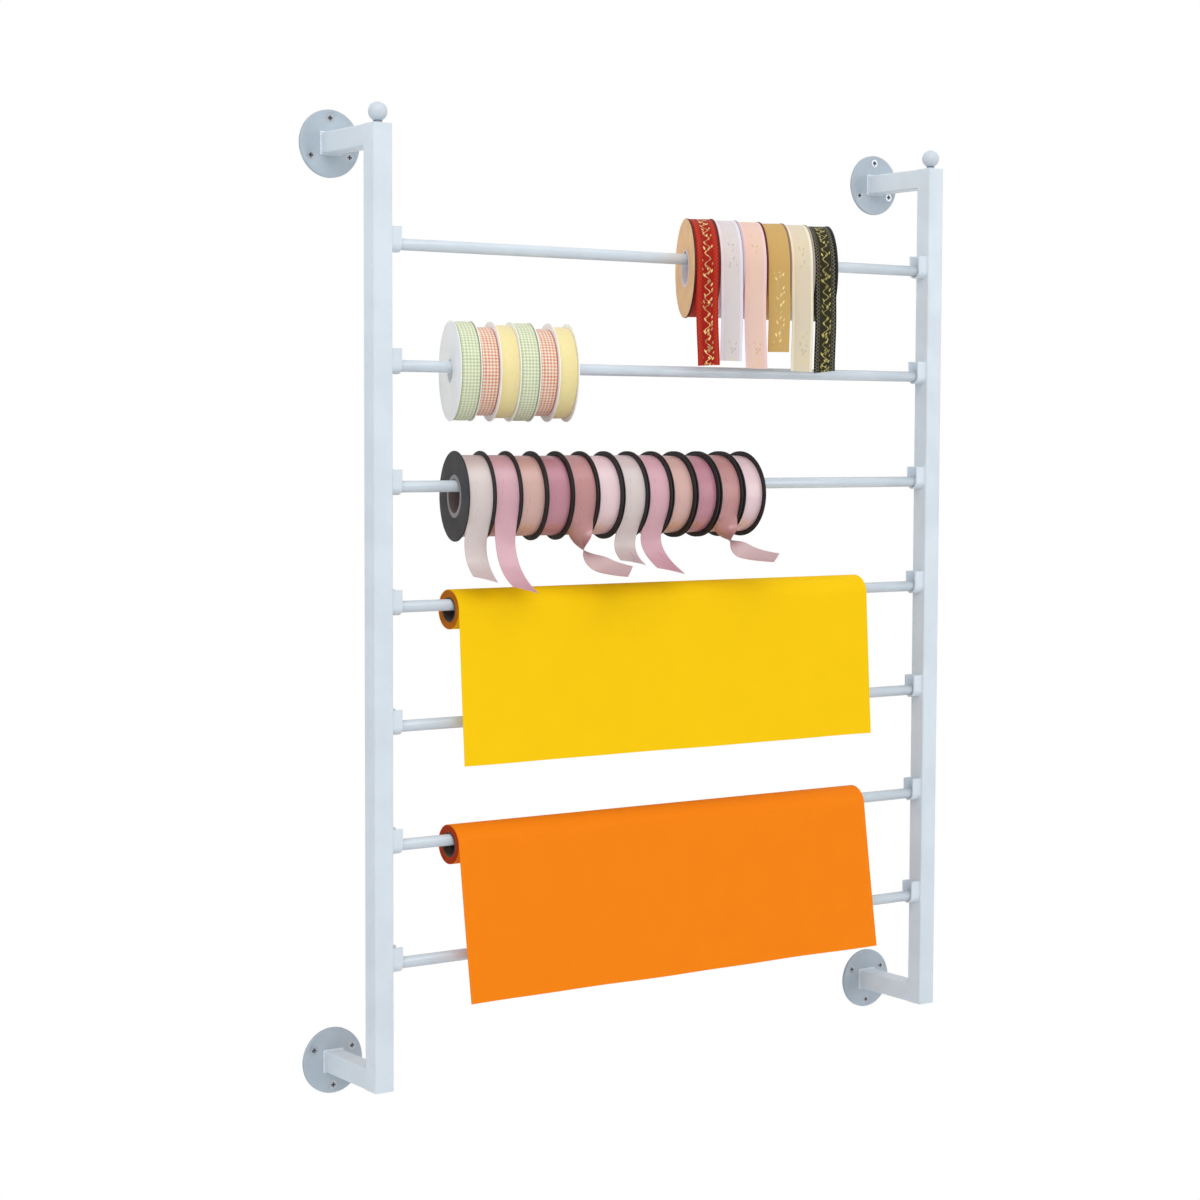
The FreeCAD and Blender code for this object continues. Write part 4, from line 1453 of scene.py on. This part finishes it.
@dataclass(frozen=True)
class LooseEnd:
    """A loose end of ribbon, in the frame of its spool. Its angles are in degrees.

    It lies on its winding from behind, over the top and down the front, leaves it and hangs.
    """

    leave: float
    drop: float
    knee: float
    flare: float
    drift: float = 0.0
    twist: float = 0.0
    twist_from: float = 0.0
    twist_to: float = 0.7
    slant: float = 0.0
    sway: float = 0.0
    gap: float = 0.0004
    straight: float = 0.018
    straight_steps: int = 10
    free_steps: int = 44
    wrap: float = 205.0
    wrap_steps: int = 48
    settled: float = 20.0
    sunk: float = 0.00004
    cup: float = 0.0004

    def stations(self, winding: float, thickness: float) -> list[Station]:
        """The places that the ribbon runs through.

        Args:
            winding: the winding's radius.
            thickness: the ribbon's thickness.

        Returns:
            The stations, from behind the winding to the cut end.
        """
        wrap, settled, leave = (math.radians(angle) for angle in (self.wrap, self.settled, -self.leave))
        out = wrapped(winding, thickness, self.gap, wrap, settled, leave, self.wrap_steps, self.sunk)
        tangent, left = out[-1].along, out[-1].distance
        start = out[-1].centre + tangent * self.straight
        end = Vector((self.drift, -(winding + self.gap + thickness / 2) - self.flare, -self.drop))
        bend = start + tangent * (self.knee * (end - start).length)
        places = [(out[-1].centre.lerp(start, i / self.straight_steps), tangent)
                  for i in range(1, self.straight_steps + 1)]
        for share in (i / self.free_steps for i in range(1, self.free_steps + 1)):
            places.append((bent(start, bend, end, share),
                           ((bend - start) * (1 - share) + (end - bend) * share).normalized()))
        total = sum((b[0] - a[0]).length for a, b in zip(places, places[1:])) + self.straight / self.straight_steps
        for centre, along in places:
            distance = out[-1].distance + (centre - out[-1].centre).length
            share = (distance - left) / total
            part = min(1.0, max(0.0, (share - self.twist_from) / (self.twist_to - self.twist_from)))
            angle = math.radians(self.twist) * part**2 * (3 - 2 * part)
            level = Quaternion(along, angle) @ (RIGHT - along * along.x).normalized()
            sway = RIGHT * (self.sway * math.sin(math.pi * share * 1.5) * share)
            out.append(Station(centre + sway, along, level, distance, thickness, self.slant * share**6,
                               self.cup * share))
        return out


@dataclass
class LooseEnds:
    """The loose ends of the foil ribbons and of six satin ribbons."""

    thickness: float = 0.0005
    columns: int = 11
    foil: dict[int, LooseEnd] = field(default_factory=lambda: {
        1: LooseEnd(0, 0.098, 0.5, 0.002, slant=-0.0008, sway=-0.0012),
        2: LooseEnd(0, 0.093, 0.5, 0.002, slant=0.0004, sway=0.0008),
        3: LooseEnd(0, 0.100, 0.5, 0.002, slant=0.0006, sway=-0.001),
        4: LooseEnd(0, 0.083, 0.5, 0.002, sway=0.0008),
        5: LooseEnd(0, 0.102, 0.5, 0.002, slant=0.001, sway=0.001),
        6: LooseEnd(0, 0.102, 0.5, 0.004, slant=-0.002, sway=0.0014),
    })
    satin: dict[int, LooseEnd] = field(default_factory=lambda: {
        1: LooseEnd(27, 0.0767, 0.59, 0.0067, 0.0022, -10, 0.0, 0.5, slant=0.0064),
        2: LooseEnd(12.5, 0.0876, 0.66, 0.0052, 0.0165, -19, 0.0, 0.5, slant=0.016),
        5: LooseEnd(22, 0.0718, 0.59, 0.024, 0.0369, 197, 0.06, 0.7, slant=0.0058),
        7: LooseEnd(32, 0.0643, 0.56, 0.0116, -0.0079, -4, 0.0, 0.8, slant=0.0079),
        8: LooseEnd(29, 0.0736, 0.48, 0.0089, 0.0086, -2, 0.0, 0.5, slant=0.016),
        11: LooseEnd(17, 0.0629, 0.51, 0.024, 0.0401, 194, 0.1, 0.62, slant=-0.0019),
    })

    def build(self) -> None:
        """Builds every loose end as a sheet of its own."""
        for number, end in self.foil.items():
            self.add("foil", number, end, KRAFT_ROW, "rod_1", None)
        for number, end in self.satin.items():
            self.add("satin", number, end, BLACK_ROW, "rod_3", SATIN_REVERSES[number - 1])

    def add(self, kind: str, number: int, end: LooseEnd, row: SpoolRow, rod: str, reverse: Finish | None) -> None:
        """Builds one loose end.

        Args:
            kind: "foil" or "satin".
            number: its spool's number.
            end: its shape.
            row: the row that its spool is in.
            rod: the rod that it rides on.
            reverse: the finish of its other face, where that differs.
        """
        finish, winding = row.windings[number - 1]
        stations = end.stations(winding, self.thickness)
        mesh = strip_mesh(stations, finish.width, self.columns, finish, reverse)
        piece = show(f"{kind}_tail_{number}", Hanger.of(row.body.format(number)).place(mesh), rod,
                     [f"{kind}_tails"])


# ---- rolls


@dataclass
class WrapRoll:
    """A roll of wrapping sheet on a board core, with its loose sheet hanging from it."""

    colour: str
    rod: str
    sheet: Finish
    edge: Finish
    lean_degrees: float
    phase: float = 0.0
    wrap_degrees: float = 235.0
    wrap_steps: int = 56
    hanging_steps: int = 34
    columns: int = 101
    length: float = 0.5
    core: float = 0.012
    bore: float = 0.0105
    radius: float = 0.0186
    layer: float = 0.0005
    thickness: float = 0.0004
    drop: float = 0.146
    gap: float = 0.0003
    segments: int = 160
    clearance: float = 0.0001
    step: float = 0.0004
    shoulder: float = 0.0003
    proud: float = 0.0003
    ripple_depth: float = 0.0011
    waves: tuple[float, float] = (23.0, 51.0)
    second_wave: float = 0.6

    def build(self) -> None:
        """Builds the core, the wound sheet and the hanging sheet."""
        body = f"{self.colour}_roll"
        hanger = Hanger.of(body)
        tube = turned(ring_profile(0.0, self.length, self.bore, self.core, TUBE_ROUNDING), ROLL_BOARD)
        parts = [tube, self.wound_mesh(), *(self.spiral_mesh(x) for x in (self.proud, self.length - self.proud))]
        show(f"{body}_wound", hanger.place(joined(parts)), body, [body])
        stations = self.stations()
        mesh = strip_mesh(stations, self.length, self.columns, self.sheet)
        self.ripple(mesh, stations[self.wrap_steps].centre.z)
        mesh.transform(Matrix.Translation(RIGHT * (self.length / 2)))
        piece = show(f"{self.colour}_hanging_sheet", hanger.place(mesh), self.rod, [f"{self.colour}_sheet"])

    def wound_mesh(self) -> Mesh:
        """The wound sheet: one face along the roll, and stepped ends.

        Returns:
            The mesh, whose map gives the distance from the axis at its ends.
        """
        inner, shoulder, far = self.core + self.clearance, self.radius - self.shoulder, self.length - self.step
        ends = [(self.step, inner), (self.step, shoulder), (0.0, self.radius), (self.length, self.radius),
                (far, shoulder), (far, inner)]
        mesh = turned(ends, self.sheet, self.segments, self.radius, self.length)
        # The ends take the edge finish, whose darker tone and layer lines are painted shade.
        paint_second(mesh, self.edge, lambda face: abs(face.normal.x) > 0.5)
        layer = mesh.uv_layers["UVMap"]
        for loop in (loop for face in mesh.polygons if face.material_index for loop in face.loop_indices):
            spot = mesh.vertices[mesh.loops[loop].vertex_index].co
            layer.data[loop].uv = (math.hypot(spot.y, spot.z), 0.0)
        return mesh

    def spiral_mesh(self, place: float) -> Mesh:
        """The edge of the wound sheet at one end.

        Args:
            place: that end's place along the roll.

        Returns:
            The mesh.
        """
        coil = Maker.SPIRAL.mesh(mesh_of([]), self.edge, Turns=(self.radius - self.core) / (self.layer * 2),
                                 Inner_Radius=self.core + self.layer, Outer_Radius=self.radius - self.layer / 2,
                                 Layer=self.layer)
        coil.transform(Matrix.Translation(RIGHT * place))
        return finish_mesh(coil)

    def stations(self) -> list[Station]:
        """The loose sheet, from behind the roll, over the top and down to its lower edge.

        Returns:
            The stations.
        """
        lean = math.radians(self.lean_degrees)
        out = wrapped(self.radius, self.thickness, self.gap, math.radians(self.wrap_degrees), math.pi / 2, lean,
                      self.wrap_steps)
        start, distance = out[-1].centre, out[-1].distance
        fall = Vector((0, -math.sin(lean), -math.cos(lean)))
        reach = (self.drop + start.z) / math.cos(lean)
        for hung in (reach * i / self.hanging_steps for i in range(1, self.hanging_steps + 1)):
            out.append(Station(start + fall * hung, fall, RIGHT, distance + hung, self.thickness))
        return out

    def ripple(self, mesh: Mesh, top: float) -> None:
        """Slow waves that grow from the sheet's top towards its lower edge.

        Args:
            mesh: the sheet's mesh.
            top: how high the sheet starts to hang.
        """
        for spot in (vertex.co for vertex in mesh.vertices if vertex.co.y <= 0):
            below = max(0.0, (top - spot.z) / (top + self.drop))
            first, second = (math.sin(spot.x * wave + i * self.phase) for i, wave in enumerate(self.waves, start=1))
            wave = first + self.second_wave * second
            spot.y -= self.ripple_depth * below * below * (1 + wave)


# ---- studio


@dataclass
class Studio:
    """The wall, floor, lights and camera. The camera's angles are in degrees."""

    eye: Vector = field(default_factory=lambda: Vector((-1.49301, -2.13933, 0.16561)))
    yaw: float = 34.4796
    pitch: float = -3.7347
    roll: float = 0.2095
    lens: float = 75.81
    half_room: float = 6.0
    floor_level: float = -1.3
    wall_gap: float = 0.0006
    flange_lap: float = 0.001
    lamps: tuple[tuple[str, tuple[float, float, float], float, float], ...] = (
        ("key", (-1.7, -2.4, 1.9), 2.6, 40.5), ("fill", (2.4, -2.0, 0.5), 1.8, 13.0),
        ("top", (0.2, -1.1, 2.4), 1.9, 9.5))

    def build(self) -> None:
        """Sets everything up."""
        self.add_camera()
        self.add_room()
        self.add_lights()
        bpy.context.scene.view_settings.view_transform = "Standard"

    def add_camera(self) -> None:
        """The camera, from its place and its three angles."""
        yaw, pitch, roll = (math.radians(angle) for angle in (self.yaw, self.pitch, self.roll))
        ahead = Vector((math.sin(yaw) * math.cos(pitch), math.cos(yaw) * math.cos(pitch), math.sin(pitch)))
        level = Vector((math.cos(yaw), -math.sin(yaw), 0))
        upright = level.cross(ahead)
        right = level * math.cos(roll) + upright * math.sin(roll)
        top = upright * math.cos(roll) - level * math.sin(roll)
        data = bpy.data.cameras.new("camera")
        data.lens = self.lens
        data.sensor_width = 36
        data.clip_end = 50
        camera = put("camera", data)
        camera.matrix_world = Matrix.Translation(self.eye) @ Matrix((right, top, -ahead)).transposed().to_4x4()
        bpy.context.scene.camera = camera

    def backdrop(self, name: str, solid: bool) -> bpy.types.Material:
        """A white surface that looks white to the camera.

        Args:
            name: the material's name.
            solid: whether it shows everywhere. Otherwise it is clear from behind, and behind the flanges, so
                that light reaches their backs.

        Returns:
            The material.
        """
        made = bpy.data.materials.new(name)
        made.use_nodes = True
        made.node_tree.nodes.clear()
        graph = Graph(made.node_tree)
        face = graph.seen_white(graph.add("ShaderNodeBsdfDiffuse", Color=(0.85, 0.85, 0.85, 1.0))[0],
                                "ShaderNodeEmission")
        if not solid:
            low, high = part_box("wall_flange_top_right")
            place = graph.add("ShaderNodeNewGeometry")
            mirrored = graph.add("ShaderNodeVectorMath", place["Position"], operation="ABSOLUTE")[0]
            away = graph.add("ShaderNodeVectorMath", mirrored, (low + high) / 2, operation="DISTANCE")["Value"]
            near = away.math("LESS_THAN", (high.z - low.z) / 2 - self.flange_lap)
            clear = graph.add("ShaderNodeBsdfTransparent")[0]
            face = graph.add("ShaderNodeMixShader", place["Backfacing"].math("MAXIMUM", near), face, clear)[0]
        graph.add("ShaderNodeOutputMaterial", face)
        return made

    def add_room(self) -> None:
        """A wall just behind the flanges, clear from behind, and a pale floor."""
        half, low, behind = self.half_room, self.floor_level, self.wall_gap
        wall = [(-half, behind, low), (half, behind, low), (half, behind, half), (-half, behind, half)]
        floor = [(-half, -half, low), (half, -half, low), (half, half, low), (-half, half, low)]
        for name, corners in (("wall", wall), ("floor", floor)):
            mesh = mesh_of(corners, faces=[(0, 1, 2, 3)])
            mesh.materials.append(self.backdrop(f"{name}_white", solid=name == "floor"))
            put(name, mesh)

    def add_lights(self) -> None:
        """A soft key from the upper left, a weaker fill from the right, one from the top and an even world."""
        aim = Vector((0, -0.05, 0))
        for name, place, size, power in self.lamps:
            data = bpy.data.lights.new(name, "AREA")
            data.shape = "SQUARE"
            data.size = size
            data.energy = power
            lamp = put(name, data)
            lamp.location = place
            lamp.rotation_mode = "QUATERNION"
            lamp.rotation_quaternion = (aim - Vector(place)).to_track_quat("-Z", "Y")
        world = bpy.context.scene.world = bpy.data.worlds.new("world")
        world.use_nodes = True
        world.node_tree.nodes.clear()
        graph = Graph(world.node_tree)
        dim = graph.add("ShaderNodeBackground", Color=(0.95, 0.97, 1.0, 1.0), Strength=0.62)[0]
        graph.add("ShaderNodeOutputWorld", graph.seen_white(dim, "ShaderNodeBackground"))


# ---- all of it


def main() -> None:
    """Builds the rack's sub-assemblies in order."""
    logging.basicConfig(level=logging.INFO, format="%(name)s %(message)s")
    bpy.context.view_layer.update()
    assemblies = (Studio(), WallFrame(), RodSet(), KRAFT_ROW, WHITE_ROW, BLACK_ROW, LooseEnds(),
                  WrapRoll("yellow", "rod_4", YELLOW_SHEET, YELLOW_EDGE_SHADE, 3.4),
                  WrapRoll("orange", "rod_6", ORANGE_SHEET, ORANGE_EDGE_SHADE, 8.0, phase=1.7))
    for assembly in assemblies:
        assembly.build()


if __name__ == "__main__":
    main()
